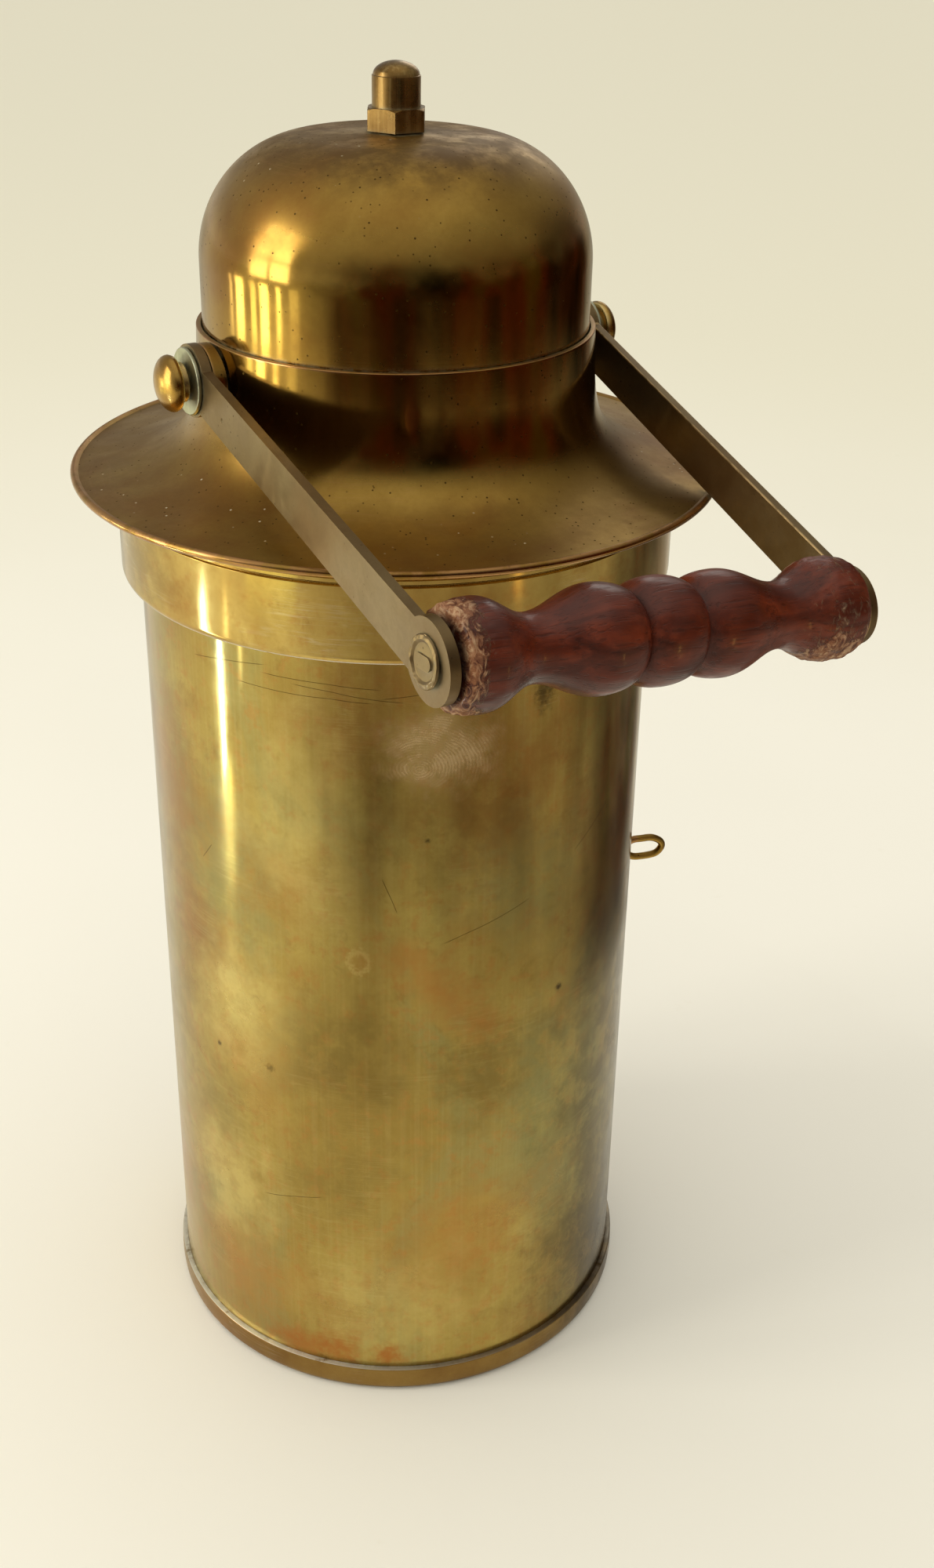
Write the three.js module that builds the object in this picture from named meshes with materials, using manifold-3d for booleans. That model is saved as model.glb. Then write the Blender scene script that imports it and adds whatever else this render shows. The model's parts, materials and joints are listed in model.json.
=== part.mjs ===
// Brass hurricane lamp with a bail handle, in millimetres, +Z up.
// The origin is the centre of the base's flat underside. The bail turns about an axis along X and hangs
// towards -Y; the window door faces +Y.
import * as THREE from 'three';
import * as BufferGeometryUtils from 'three/addons/utils/BufferGeometryUtils.js';
import Module from 'manifold-3d';

const wasm = await Module();
wasm.setup();

// Sizes that several pieces share
const bodyRadius = 60;
const bodyTop = 233;
const sheet = 1.2;
const fitGap = 0.3;
const overrun = 4;
const weld = 1e-5;
const roundSteps = 40;
const midSteps = 20;
const smallSteps = 10;
const gripSteps = 18;
const cornerSteps = 3;
const crownSteps = 4;
const tau = 2 * Math.PI;

// Base pan
const panWall = 1.1;
const panRadius = bodyRadius + fitGap + panWall;
const panHeight = 7.2;
const panFloor = 1.8;
const panCorner = 2.2;
const panLip = 0.5;

// Lid band
const bandStep = 4.25;
const bandRadius = bodyRadius + bandStep;
const bandHeight = 24.05;
const bandBottom = bodyTop - bandHeight;
const bandCorner = 2;

// Cowl: neck, flare and rolled edge
const brimHeight = bodyTop;
const cowlRise = 32.1;
const lipTop = brimHeight + cowlRise;
const neckStep = 15.3;
const neckRadius = bodyRadius - neckStep;
const lipTaper = 0.3;
const lipRadius = neckRadius - lipTaper;
const lipLength = 7.1;
const neckFoot = lipTop - lipLength;
const brimOverhang = 14.2;
const brimRadius = bodyRadius + brimOverhang;
const beadRadius = 0.9;
const flareDrop = 18;
const flareReach = 5.3;
const flareRise = 3.5;
const flareSteps = 7;
const flueHoleRadius = 2.5;
const flueHoleDrop = 7.5;
const flueHoleHeight = neckFoot - flueHoleDrop;
const flueHoleCount = 7;
const flueHoleSpread = THREE.MathUtils.degToRad(90);

// Dome and cap nut
const lipWall = 1;
const domeRadius = lipRadius - lipWall - fitGap;
const domeLap = 1.9;
const domeFoot = lipTop - domeLap;
const domeWall = 15.8;
const domeShoulder = domeFoot + domeWall;
const domeShoulderRise = 25.6;
const domeShoulderTop = domeShoulder + domeShoulderRise;
const domeCrownRise = 0.7;
const domeTop = domeShoulderTop + domeCrownRise;
const domeCrownRadius = 18.5;
const domeSteps = 6;
const nutWidth = 12;
const nutHexHeight = 4.6;
const nutHeight = 13.8;
const nutBarrelRadius = 5.2;
const nutCrown = 2.8;

// Tie rod, cross bar and neck ring
const tieRodRadius = 3;
const tieRodTail = 8;
const crossBarDrop = 12;
const crossBarHeight = neckFoot - crossBarDrop;
const tieRodFoot = crossBarHeight - tieRodTail;
const crossBarThickness = 2.4;
const crossBarWidth = 12;
const crossBarReach = Math.sqrt((neckRadius - sheet - 2 * fitGap) ** 2 - (crossBarWidth / 2) ** 2);
const rodNutWidth = 10;
const rodNutHeight = 4;
const neckRingHeight = 0.9;
const neckRingWidth = 2;

// Bail
const pivotDrop = 7.7;
const pivotHeight = lipTop - pivotDrop;
const spacerStand = 2.9;
const strapThickness = 2.2;
const strapInnerFace = neckRadius + spacerStand;
const strapOuterFace = strapInnerFace + strapThickness;
const strapLength = 108;
const strapUpperEye = 7.8;
const strapLowerEye = 8.3;
const strapUpperDepth = 10;
const strapLowerDepth = 11.4;
const rackAngle = THREE.MathUtils.degToRad(5);

// Pivot studs
const studRadius = 2.5;
const studCollarRadius = 4.4;
const studCollarLength = 3;
const studHeadRadius = 5.7;
const studHeadLength = 4;
const washerRadius = 7.2;
const washerThickness = 0.8;
const spacerRadius = 7.6;
const pivotNutWidth = 8;
const pivotNutThickness = 3.6;
const pivotNutSeat = 0.7;
const pivotNutFace = neckRadius - sheet - pivotNutSeat;
const studThread = 5.8;
const studTail = pivotNutFace - studThread;

// Grip, its rod and the screws at its ends, each a round cup round a flat tang
const gripCrest = 10.65;
const gripNeck = 6.7;
const gripGroove = 7.8;
const gripEndRadius = 9.4;
const gripEndGap = 1.25;
const gripShares = { beadEdge: 0.15, bulgeCrest: 0.31, neck: 0.63, endCrest: 0.87 };
const gripRodRadius = 2.4;
const screwHeadRadius = 5.2;
const screwHeadThickness = 1;
const screwRim = 0.8;
const screwCupDepth = 0.6;
const screwTangWidth = 4.2;
const screwTangLength = 7.6;

// Door opening in the body
const doorCentre = THREE.MathUtils.degToRad(90);
const openingHalf = THREE.MathUtils.degToRad(38);
const openingFoot = 22;
const openingHeight = 174;
const openingTop = openingFoot + openingHeight;
const doorLapFree = THREE.MathUtils.degToRad(4);
const doorLapHinge = THREE.MathUtils.degToRad(1.4);
const doorLap = 4;
const windowHalf = THREE.MathUtils.degToRad(26);
const windowSill = 38;
const windowHead = 12;
const windowFoot = openingFoot + windowSill;
const windowTop = openingTop - windowHead;
const glassLap = THREE.MathUtils.degToRad(3);
const glassLapHeight = 4;
const glassThickness = 2;
const retainerHeight = 2.2;
const retainerLip = 3.5;
const retainerSheet = 1.2;
const doorKnobHeight = 98;
const doorKnobAngle = THREE.MathUtils.degToRad(56);
const doorKnobRadius = 3.6;
const doorKnobLength = 8;
const inletCount = 7;
const inletRadius = 2.5;
const inletHeight = 14;
const inletSpread = THREE.MathUtils.degToRad(72);

// Door hinges
const hingeAngle = THREE.MathUtils.degToRad(132);
const hingeHeights = { lower: 55, upper: 165 };
const hingeHeight = 24;
const knuckleRadius = 2.2;
const knuckleLength = 8;
const hingePinRadius = 1;
const hingePinHead = 1.6;
const hingePinHeadHeight = 1;
const leafSheet = 1;
const leafArc = THREE.MathUtils.degToRad(10);

// Turn button
const buttonAngle = THREE.MathUtils.degToRad(42);
const buttonHeight = 120;
const buttonLength = 18;
const buttonWidth = 6.5;
const buttonThickness = 1.2;
const buttonStudRadius = 1.5;
const buttonHeadRadius = 2.8;
const buttonHeadThickness = 1.2;
const buttonSpacerRadius = 3;
const buttonSpacerThickness = 1.4;

// Flue cone
const coneDrop = 14;
const coneHeight = 17;
const coneFoot = bodyTop - coneDrop;
const coneTop = coneFoot + coneHeight;
const coneMouth = 24;
const coneFlange = 3;

// Font, tray and filler
const fontRadius = 35.1;
const fontShoulder = 78;
const fontShoulderRise = 17;
const fontTop = fontShoulder + fontShoulderRise;
const fontWall = 1;
const fontMouth = 10;
const fontNeckRadius = 14;
const fontSteps = 4;
const trayHeight = 8;
const fillerPlace = 24;
const fillerRadius = 5.8;
const fillerBore = 4.6;
const fillerSink = 6;
const fillerStand = 5.6;
const fillerFoot = fontShoulder + fillerSink;
const fillerTop = fontTop + fillerStand;
const fillerCapRadius = 7.6;
const fillerCapHeight = 5;
const fillerCapTop = 1.4;

// Reflector
const reflectorFlatness = 15;
const reflectorSetback = 12;
const reflectorRadius = bodyRadius + reflectorFlatness;
const reflectorDepth = bodyRadius - reflectorSetback;
const reflectorRise = 17;
const reflectorHeight = 80;
const reflectorFoot = fontTop + reflectorRise;
const reflectorTop = reflectorFoot + reflectorHeight;
const reflectorSheet = 0.8;

// Burner
const burnerTurn = THREE.MathUtils.degToRad(-20);
const collarRadius = 13;
const collarBore = 8.3;
const collarHeight = 4;
const collarSkirt = 4;
const burnerRadius = 15;
const burnerFoot = fontTop + fitGap + collarHeight;
const burnerHeight = 28.7;
const burnerTop = burnerFoot + burnerHeight;
const burnerHipHeight = 5;
const burnerWall = 1;
const burnerHoleRadius = 1.7;
const burnerHoleCount = 8;
const burnerHoleRise = 10.7;
const burnerHoleHeight = burnerFoot + burnerHoleRise;
const wickWidth = 12.4;
const wickThickness = 2.6;
const wickFoot = 16;
const wickTubeWall = 1;
const wickTubeTail = 3.3;
const wickTubeRise = 8;
const wickTubeFoot = burnerFoot - wickTubeTail;
const wickTubeTop = burnerTop + wickTubeRise;
const wickRise = 3;
const wickTop = wickTubeTop + wickRise;
const galleryRadius = 24.4;
const galleryDrop = 6;
const galleryHeight = burnerTop - galleryDrop;
const galleryRim = 4;
const prongHeight = 9;
const prongHalf = THREE.MathUtils.degToRad(9);
const prongCount = 4;
const spreaderRadius = 13.6;
const spreaderRise = 12;
const spreaderSkirt = 2.5;
const spreaderWall = 0.8;
const spreaderSteps = 4;

// Glass chimney
const chimneySeat = 0.8;
const chimneyBase = galleryRadius - sheet - chimneySeat;
const chimneyWaist = 21.4;
const chimneyBulge = 25;
const chimneyMouth = 14.5;
const chimneyBaseSpan = 7.5;
const chimneyBulgeSpan = 16;
const chimneyTaperSpan = 37;
const chimneyNeckSpan = 16;
const chimneyWall = 1.4;

// Wick winder
const winderRise = 20.7;
const winderHeight = burnerFoot + winderRise;
const winderShaftRadius = 1.3;
const winderInnerEnd = 9;
const spurRadius = 4.2;
const spurDepth = 0.7;
const spurWidth = 6;
const spurTeeth = 12;
const keyNeckStand = 1.6;
const keyLength = 12;
const keyNeck = bodyRadius + keyNeckStand;
const keyReach = keyNeck + keyLength;
const keyWireRadius = 0.8;
const keyHalfWidth = 2.7;
const keyShoulderShare = 0.8;
const keySteps = 24;
const wireSteps = 6;
const bushRadius = 3.4;
const bushFlange = 0.8;

// Materials: tarnished brass, warm wood, glass, steel and cotton
function finish(colour, metalness, roughness) {
  return new THREE.MeshStandardMaterial({ color: colour, metalness, roughness });
}
const paleBrass = () => finish(0xa8924a, 1, 0.35);
const darkBrass = () => finish(0x8a6a35, 1, 0.4);
const strapBrass = () => finish(0x8c8168, 1, 0.5);
const steel = () => finish(0x9a9a96, 1, 0.45);
const tinned = () => finish(0xd8d8d4, 1, 0.15);
const wood = () => finish(0x5a2417, 0, 0.4);
const cotton = () => finish(0xe2dcc8, 0, 0.95);
function glass() {
  const material = finish(0xdfe8e4, 0, 0.05);
  material.transparent = true;
  material.opacity = 0.35;
  return material;
}

// Solid helpers: every geometry becomes one welded, closed, outward-facing mesh
function signedVolume(positions, index) {
  const corner = (i) => new THREE.Vector3().fromArray(positions, 3 * index[i]);
  let sum = 0;
  for (let i = 0; i < index.length; i += 3) {
    sum += corner(i).dot(corner(i + 1).cross(corner(i + 2)));
  }
  return sum;
}

function closed(geometry) {
  const bare = new THREE.BufferGeometry();
  bare.setAttribute('position', geometry.attributes.position.clone());
  if (geometry.index) bare.setIndex(geometry.index.clone());
  const merged = BufferGeometryUtils.mergeVertices(bare, weld);
  const all = Array.from(merged.index.array);
  const kept = [];
  for (let i = 0; i < all.length; i += 3) {
    const [a, b, c] = all.slice(i, i + 3);
    if (a !== b && b !== c && c !== a) kept.push(a, b, c);
  }
  if (signedVolume(merged.attributes.position.array, kept) < 0) kept.reverse();
  merged.setIndex(kept);
  return merged;
}

function toManifold(geometry) {
  const mesh = closed(geometry);
  const vertProperties = new Float32Array(mesh.attributes.position.array);
  const triVerts = new Uint32Array(mesh.index.array);
  return new wasm.Manifold(new wasm.Mesh({ numProp: 3, vertProperties, triVerts }));
}

function fromManifold(solid) {
  const { vertProperties, triVerts } = solid.getMesh();
  const geometry = new THREE.BufferGeometry();
  geometry.setAttribute('position', new THREE.BufferAttribute(new Float32Array(vertProperties), 3));
  geometry.setIndex(Array.from(triVerts));
  return geometry;
}

function cut(geometry, ...tools) {
  return fromManifold(tools.reduce((solid, tool) => solid.subtract(toManifold(tool)), toManifold(geometry)));
}

function join(...geometries) {
  return fromManifold(geometries.map(toManifold).reduce((solid, other) => solid.add(other)));
}

// A turned solid: points are [radius, height] pairs from axis to axis, or a ring that is closed here
function turned(points, steps) {
  const profile = points.map(([radius, height]) => new THREE.Vector2(radius, height));
  const onAxis = profile[0].x === 0 && profile[profile.length - 1].x === 0;
  if (!onAxis) profile.push(profile[0].clone());
  return new THREE.LatheGeometry(profile, steps).rotateX(tau / 4);
}

function rod(radius, low, high, steps) {
  return turned([[0, low], [radius, low], [radius, high], [0, high]], steps);
}

function tube(inner, outer, low, high, steps) {
  return turned([[inner, low], [outer, low], [outer, high], [inner, high]], steps);
}

function hexPrism(acrossFlats, low, high) {
  return rod(acrossFlats / Math.sqrt(3), low, high, 6);
}

function extruded(shape, depth, curveSegments) {
  return new THREE.ExtrudeGeometry(shape, { depth, bevelEnabled: false, curveSegments });
}

// A curved plate: part of a ring between two radii, two angles and two heights
function arcPlate(inner, outer, from, to, low, high) {
  const shape = new THREE.Shape();
  shape.absarc(0, 0, outer, from, to, false);
  shape.absarc(0, 0, inner, to, from, true);
  const curveSegments = Math.max(2, Math.ceil((roundSteps * (to - from)) / tau));
  return extruded(shape, high - low, curveSegments).translate(0, 0, low);
}

function block(width, depth, low, high) {
  return new THREE.BoxGeometry(width, depth, high - low).translate(0, 0, (low + high) / 2);
}

// Lays a solid that was made along Z so that it runs along +X
function alongX(geometry) {
  return geometry.rotateY(tau / 4);
}

// Lays a solid that was made along Z so that it points outward at an angle round the lamp, at a height
function radial(geometry, angle, height) {
  return alongX(geometry).rotateZ(angle).translate(0, 0, height);
}

const lamp = new THREE.Group();

function add(name, geometry, material, group = lamp) {
  const mesh = new THREE.Mesh(closed(geometry), material);
  mesh.name = name;
  mesh.geometry.computeVertexNormals();
  group.add(mesh);
  return mesh;
}

// Outline of the quarter ellipse from a side point to a top point, ends included
function shoulder(sideRadius, sideHeight, topRadius, topHeight, steps) {
  return Array.from({ length: steps + 1 }, (_, i) => {
    const angle = (i / steps) * (tau / 4);
    return [
      topRadius + (sideRadius - topRadius) * Math.cos(angle),
      sideHeight + (topHeight - sideHeight) * Math.sin(angle),
    ];
  });
}

// Base pan: the body stands inside its low wall
function basePan() {
  const wallInner = bodyRadius + fitGap;
  const corner = shoulder(panRadius, -panCorner, panRadius - panCorner, 0, cornerSteps).reverse();
  return turned([
    [0, 0],
    ...corner.map(([radius, height]) => [radius, -height]),
    [panRadius, panHeight - panLip],
    [panRadius - panLip, panHeight],
    [wallInner, panHeight],
    [wallInner, panFloor],
    [0, panFloor],
  ], roundSteps);
}
add('base_pan', basePan(), darkBrass());

// Body shell with its door opening, air inlets and the winder's hole
const winderOffset = wickThickness / 2 + fitGap + spurRadius;
const bodyInner = bodyRadius - sheet;
const openingFrom = doorCentre - openingHalf;
const openingTo = doorCentre + openingHalf;

function spread(count, centre, width) {
  return Array.from({ length: count }, (_, i) => centre + width * (i / (count - 1) - 1 / 2));
}

function winderLine(geometry) {
  return alongX(geometry).translate(0, winderOffset, winderHeight).rotateZ(burnerTurn);
}

function bodyShell() {
  const wall = tube(bodyInner, bodyRadius, panFloor + fitGap, bodyTop, roundSteps);
  const [inside, outside] = [bodyInner - overrun, bodyRadius + overrun];
  const opening = arcPlate(inside, outside, openingFrom, openingTo, openingFoot, openingTop);
  const inlets = spread(inletCount, doorCentre, inletSpread).map((angle) =>
    radial(rod(inletRadius, inside, outside, smallSteps), angle, inletHeight));
  const winderHole = winderLine(rod(winderShaftRadius + 2 * fitGap, inside - overrun, outside, smallSteps));
  const buttonBore = rod(buttonStudRadius + fitGap, inside, outside, smallSteps);
  return cut(wall, opening, ...inlets, winderHole, radial(buttonBore, buttonAngle, buttonHeight));
}
add('body_shell', bodyShell(), paleBrass());

// Cowl outline: the outer face runs from the lip down the neck and out along the flare
const flare = new THREE.CubicBezierCurve(
  new THREE.Vector2(neckRadius, neckFoot),
  new THREE.Vector2(neckRadius + fitGap, neckFoot - flareDrop),
  new THREE.Vector2(neckRadius + flareReach, brimHeight + flareRise),
  new THREE.Vector2(brimRadius - 2 * beadRadius, brimHeight + beadRadius / 2),
);
const flareOuter = flare.getPoints(flareSteps);

function offsetFlare(distance) {
  return flareOuter.map((point, i) => {
    const tangent = flare.getTangent(i / flareSteps);
    return [point.x + tangent.y * distance, point.y - tangent.x * distance];
  });
}

function edgeBead() {
  const centre = brimRadius - beadRadius;
  const turns = [1 / 4, 1 / 8, 0, -1 / 8, -1 / 4];
  return turns.map((turn) => [
    centre + beadRadius * Math.cos(turn * tau),
    brimHeight + beadRadius * Math.sin(turn * tau),
  ]);
}

function cowlSolid() {
  const lipInner = domeRadius + fitGap;
  return turned([
    [lipInner, lipTop],
    [lipRadius, lipTop],
    ...flareOuter.map((point) => [point.x, point.y]),
    ...edgeBead(),
    ...offsetFlare(sheet).reverse(),
  ], roundSteps);
}

function neckHoles() {
  const holes = [];
  const [inside, outside] = [neckRadius - 2 * overrun, neckRadius + 2 * overrun];
  for (const angle of spread(flueHoleCount, doorCentre, flueHoleSpread)) {
    holes.push(radial(rod(flueHoleRadius, inside, outside, smallSteps), angle, flueHoleHeight));
  }
  for (const angle of [0, tau / 2]) {
    holes.push(radial(rod(studRadius + fitGap, inside, outside, smallSteps), angle, pivotHeight));
  }
  return holes;
}
add('cowl', cut(cowlSolid(), ...neckHoles()), darkBrass());

// Lid band: a C-section skirt that closes onto the body below the flare
function bandTop() {
  const under = offsetFlare(sheet);
  const next = under.findIndex(([radius]) => radius > bandRadius);
  const [[nearRadius, nearHeight], [farRadius, farHeight]] = [under[next - 1], under[next]];
  const share = (bandRadius - nearRadius) / (farRadius - nearRadius);
  return nearHeight + (farHeight - nearHeight) * share - fitGap;
}

function lidBand() {
  const top = bandTop();
  const inner = bodyRadius + fitGap;
  const corner = shoulder(bandRadius, -bandCorner, bandRadius - bandCorner, 0, cornerSteps).reverse();
  return turned([
    [inner, bandBottom],
    ...corner.map(([radius, height]) => [radius, bandBottom - height]),
    [bandRadius, top],
    [inner, top],
    [inner, top - sheet],
    [bandRadius - sheet, top - sheet],
    [bandRadius - sheet, bandBottom + bandCorner],
    [bandRadius - bandCorner, bandBottom + sheet],
    [inner, bandBottom + sheet],
  ], roundSteps);
}
add('lid_band', lidBand(), paleBrass());

// Neck ring, soldered inside the neck: the dome stands on it
function neckRing() {
  const top = domeFoot - fitGap;
  return tube(domeRadius - neckRingWidth, domeRadius, top - neckRingHeight, top, roundSteps);
}
add('neck_ring', neckRing(), darkBrass());

// Dome: straight wall, round shoulder and a slightly crowned top
function dome() {
  const hole = tieRodRadius + fitGap;
  const outer = shoulder(domeRadius, domeShoulder, domeCrownRadius, domeShoulderTop, domeSteps);
  const inner = shoulder(domeRadius - sheet, domeShoulder, domeCrownRadius, domeShoulderTop - sheet, domeSteps);
  return turned([
    [domeRadius, domeFoot],
    ...outer,
    [hole, domeTop],
    [hole, domeTop - sheet],
    ...inner.reverse(),
    [domeRadius - sheet, domeFoot],
  ], roundSteps);
}
add('dome', dome(), darkBrass());

// Cap nut: hexagon, barrel and rounded end, with a blind bore
const nutFoot = domeTop + fitGap;
const nutTop = nutFoot + nutHeight;

function capNut() {
  const barrelFoot = nutFoot + nutHexHeight;
  const barrelTop = nutTop - nutCrown;
  const barrel = turned([
    [0, barrelFoot - fitGap],
    [nutBarrelRadius, barrelFoot - fitGap],
    ...shoulder(nutBarrelRadius, barrelTop, 0, nutTop, crownSteps),
  ], midSteps / 2);
  const hexagon = hexPrism(nutWidth, nutFoot, barrelFoot);
  const bore = rod(tieRodRadius + fitGap, nutFoot - overrun, tieRodTop() + fitGap, smallSteps);
  return cut(join(hexagon, barrel), bore);
}

function tieRodTop() {
  return nutTop - nutCrown - nutBarrelRadius / 2;
}
add('cap_nut', capNut(), darkBrass());

// Tie rod, cross bar and the two nuts that hold the bar
add('tie_rod', rod(tieRodRadius, tieRodFoot, tieRodTop(), smallSteps), steel());

function crossBar() {
  const half = crossBarReach;
  const low = crossBarHeight - crossBarThickness / 2;
  const high = crossBarHeight + crossBarThickness / 2;
  const armTop = neckFoot - fitGap;
  const bar = block(crossBarWidth, 2 * half, low, high);
  const arms = [-1, 1].map((side) =>
    block(crossBarWidth, crossBarThickness, low, armTop).translate(0, side * (half - crossBarThickness / 2), 0));
  const hole = rod(tieRodRadius + fitGap, low - overrun, high + overrun, smallSteps);
  return cut(join(bar, ...arms), hole);
}
add('cross_bar', crossBar(), steel());

function rodNut(low) {
  const hole = rod(tieRodRadius + fitGap, low - overrun, low + rodNutHeight + overrun, smallSteps);
  return cut(hexPrism(rodNutWidth, low, low + rodNutHeight), hole);
}
add('rod_nut_upper', rodNut(crossBarHeight + crossBarThickness / 2 + fitGap), steel());
add('rod_nut_lower', rodNut(crossBarHeight - crossBarThickness / 2 - fitGap - rodNutHeight), steel());

// Pivots: stud, washer, spacer and inner nut on each side
function pivotStud() {
  const collarFoot = strapOuterFace + 2 * fitGap + washerThickness + fitGap;
  const headFoot = collarFoot + studCollarLength;
  const headRim = headFoot + studHeadLength / 4;
  return turned([
    [0, studTail],
    [studRadius, studTail],
    [studRadius, collarFoot],
    [studCollarRadius, collarFoot],
    [studCollarRadius, headFoot],
    ...shoulder(studHeadRadius, headRim, 0, headFoot + studHeadLength, crownSteps),
  ], smallSteps);
}

function pivotSpacer() {
  const inner = neckRadius - 2 * sheet;
  const outer = strapInnerFace - fitGap;
  const boss = alongX(tube(studRadius + fitGap, spacerRadius, inner, outer, midSteps / 2));
  const neck = turned([
    [0, lipTop],
    [neckRadius + fitGap, lipTop],
    ...offsetFlare(-fitGap),
    [0, brimHeight],
  ], roundSteps);
  return cut(boss.translate(0, 0, pivotHeight), neck);
}

function pivotNut() {
  const hexagon = hexPrism(pivotNutWidth, pivotNutFace - pivotNutThickness, pivotNutFace);
  const bore = rod(studRadius + fitGap, studTail - overrun, pivotNutFace + overrun, smallSteps);
  return alongX(cut(hexagon, bore)).translate(0, 0, pivotHeight);
}

for (const [side, turn] of [['right', 0], ['left', tau / 2]]) {
  const washerFoot = strapOuterFace + fitGap;
  const washer = tube(studRadius + fitGap, washerRadius, washerFoot, washerFoot + washerThickness, midSteps / 2);
  add(`${side}_pivot_stud`, radial(pivotStud(), turn, pivotHeight), darkBrass());
  add(`${side}_pivot_washer`, radial(washer, turn, pivotHeight), steel());
  add(`${side}_pivot_spacer`, pivotSpacer().rotateZ(turn), darkBrass());
  add(`${side}_pivot_nut`, pivotNut().rotateZ(turn), steel());
}

// Bail: two flat straps. The left one sits a little higher than the right one, as on a bail that
// years of carrying have racked, and the grip runs between their lower eyes.
// The right strap's lower edge rests on the cowl's edge bead.
function restAngleOnBead() {
  const crest = brimRadius - beadRadius;
  const reach = Math.sqrt(crest * crest - strapInnerFace * strapInnerFace);
  const drop = pivotHeight - brimHeight - beadRadius - fitGap;
  const halfDepth = (strapUpperDepth + strapLowerDepth) / 4;
  return Math.acos(halfDepth / Math.hypot(drop, reach)) - Math.atan2(reach, drop);
}
const restAngle = restAngleOnBead();
const strapAngles = { right: restAngle, left: restAngle - rackAngle };
const lowerEyes = {};

function strapPlate() {
  const upperHalf = strapUpperDepth / 2;
  const lowerHalf = strapLowerDepth / 2;
  const upperTurn = Math.asin(upperHalf / strapUpperEye);
  const lowerTurn = Math.asin(lowerHalf / strapLowerEye);
  const shape = new THREE.Shape();
  shape.absarc(0, 0, strapUpperEye, upperTurn, tau - upperTurn, false);
  shape.absarc(strapLength, 0, strapLowerEye, tau / 2 + lowerTurn, 3 * (tau / 2) - lowerTurn, false);
  const holes = [[0, studRadius + fitGap], [strapLength, gripRodRadius + 2 * fitGap]];
  for (const [place, radius] of holes) {
    const hole = new THREE.Path();
    hole.absarc(place, 0, radius, 0, tau, true);
    shape.holes.push(hole);
  }
  return extruded(shape, strapThickness, smallSteps);
}

for (const [side, sign] of [['right', 1], ['left', -1]]) {
  const angle = strapAngles[side];
  const along = new THREE.Vector3(0, -Math.cos(angle), -Math.sin(angle));
  const up = new THREE.Vector3(0, -Math.sin(angle), Math.cos(angle));
  const strap = add(`${side}_strap`, strapPlate(), strapBrass());
  strap.quaternion.setFromRotationMatrix(
    new THREE.Matrix4().makeBasis(along, up, new THREE.Vector3(-1, 0, 0)));
  const farFace = sign > 0 ? strapOuterFace : -strapInnerFace;
  strap.position.set(farFace, 0, pivotHeight);
  const middle = sign * (strapOuterFace - strapThickness / 2);
  lowerEyes[side] = new THREE.Vector3(middle, 0, pivotHeight).addScaledVector(along, strapLength);
}

// Grip group: its own Z runs along the grip from the left eye to the right eye
const grip = new THREE.Group();
const gripAxis = lowerEyes.right.clone().sub(lowerEyes.left).normalize();
grip.position.copy(lowerEyes.left).lerp(lowerEyes.right, 1 / 2);
grip.quaternion.setFromUnitVectors(new THREE.Vector3(0, 0, 1), gripAxis);
lamp.add(grip);
const eyeHalfDistance = lowerEyes.left.distanceTo(lowerEyes.right) / 2;

// Half of the grip's turned outline, from the middle outwards
function gripOutline(halfLength) {
  const ease = (share) => (1 - Math.cos(share * Math.PI)) / 2;
  const arc = (share) => Math.sqrt(Math.max(0, 1 - share * share));
  const points = [];
  const run = (from, to, steps, radiusAt) => {
    for (let i = 0; i < steps; i += 1) points.push([radiusAt(i / steps), from + ((to - from) * i) / steps]);
  };
  const places = Object.values(gripShares).map((share) => share * halfLength);
  const [beadEdge, bulgeCrest, neck, endCrest] = places;
  run(0, beadEdge, 3, (t) => gripGroove + (gripCrest - gripGroove) * arc(t));
  run(beadEdge, bulgeCrest, 3, (t) => gripGroove + (gripCrest - gripGroove) * arc(1 - t));
  run(bulgeCrest, neck, 5, (t) => gripCrest + (gripNeck - gripCrest) * ease(t));
  run(neck, endCrest, 4, (t) => gripNeck + (gripCrest - gripNeck) * ease(t));
  run(endCrest, halfLength, 2, (t) => gripEndRadius + (gripCrest - gripEndRadius) * arc(t));
  points.push([gripEndRadius, halfLength]);
  return points;
}

function gripSolid() {
  const halfLength = eyeHalfDistance - strapThickness / 2 - gripEndGap;
  const bore = gripRodRadius + fitGap;
  const half = gripOutline(halfLength);
  const mirrored = half.slice(1).map(([radius, height]) => [radius, -height]).reverse();
  return turned([[bore, -halfLength], ...mirrored, ...half, [bore, halfLength]], gripSteps);
}
add('grip', gripSolid(), wood(), grip);

const rodEnd = eyeHalfDistance + strapThickness / 2 + fitGap;
add('grip_rod', rod(gripRodRadius, -rodEnd, rodEnd, smallSteps), steel(), grip);

function gripScrew(sign) {
  const foot = rodEnd + fitGap;
  const top = foot + screwHeadThickness;
  const head = rod(screwHeadRadius, foot, top, midSteps);
  const cup = rod(screwHeadRadius - screwRim, top - screwCupDepth, top + overrun, midSteps);
  const half = (screwTangLength - screwTangWidth) / 2;
  const shape = new THREE.Shape();
  shape.absarc(0, half, screwTangWidth / 2, 0, tau / 2, false);
  shape.absarc(0, -half, screwTangWidth / 2, tau / 2, tau, false);
  const tang = extruded(shape, screwHeadThickness, crownSteps).translate(0, 0, foot);
  const screw = join(cut(head, cup), tang);
  return sign > 0 ? screw : screw.rotateY(tau / 2);
}
add('grip_screw_right', gripScrew(1), strapBrass(), grip);
add('grip_screw_left', gripScrew(-1), strapBrass(), grip);

// Door: a curved frame outside the opening, with a curved pane held inside it
const doorInner = bodyRadius + fitGap;
const doorOuter = doorInner + sheet;
const doorFoot = openingFoot - doorLap;
const doorTop = openingTop + doorLap;

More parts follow.
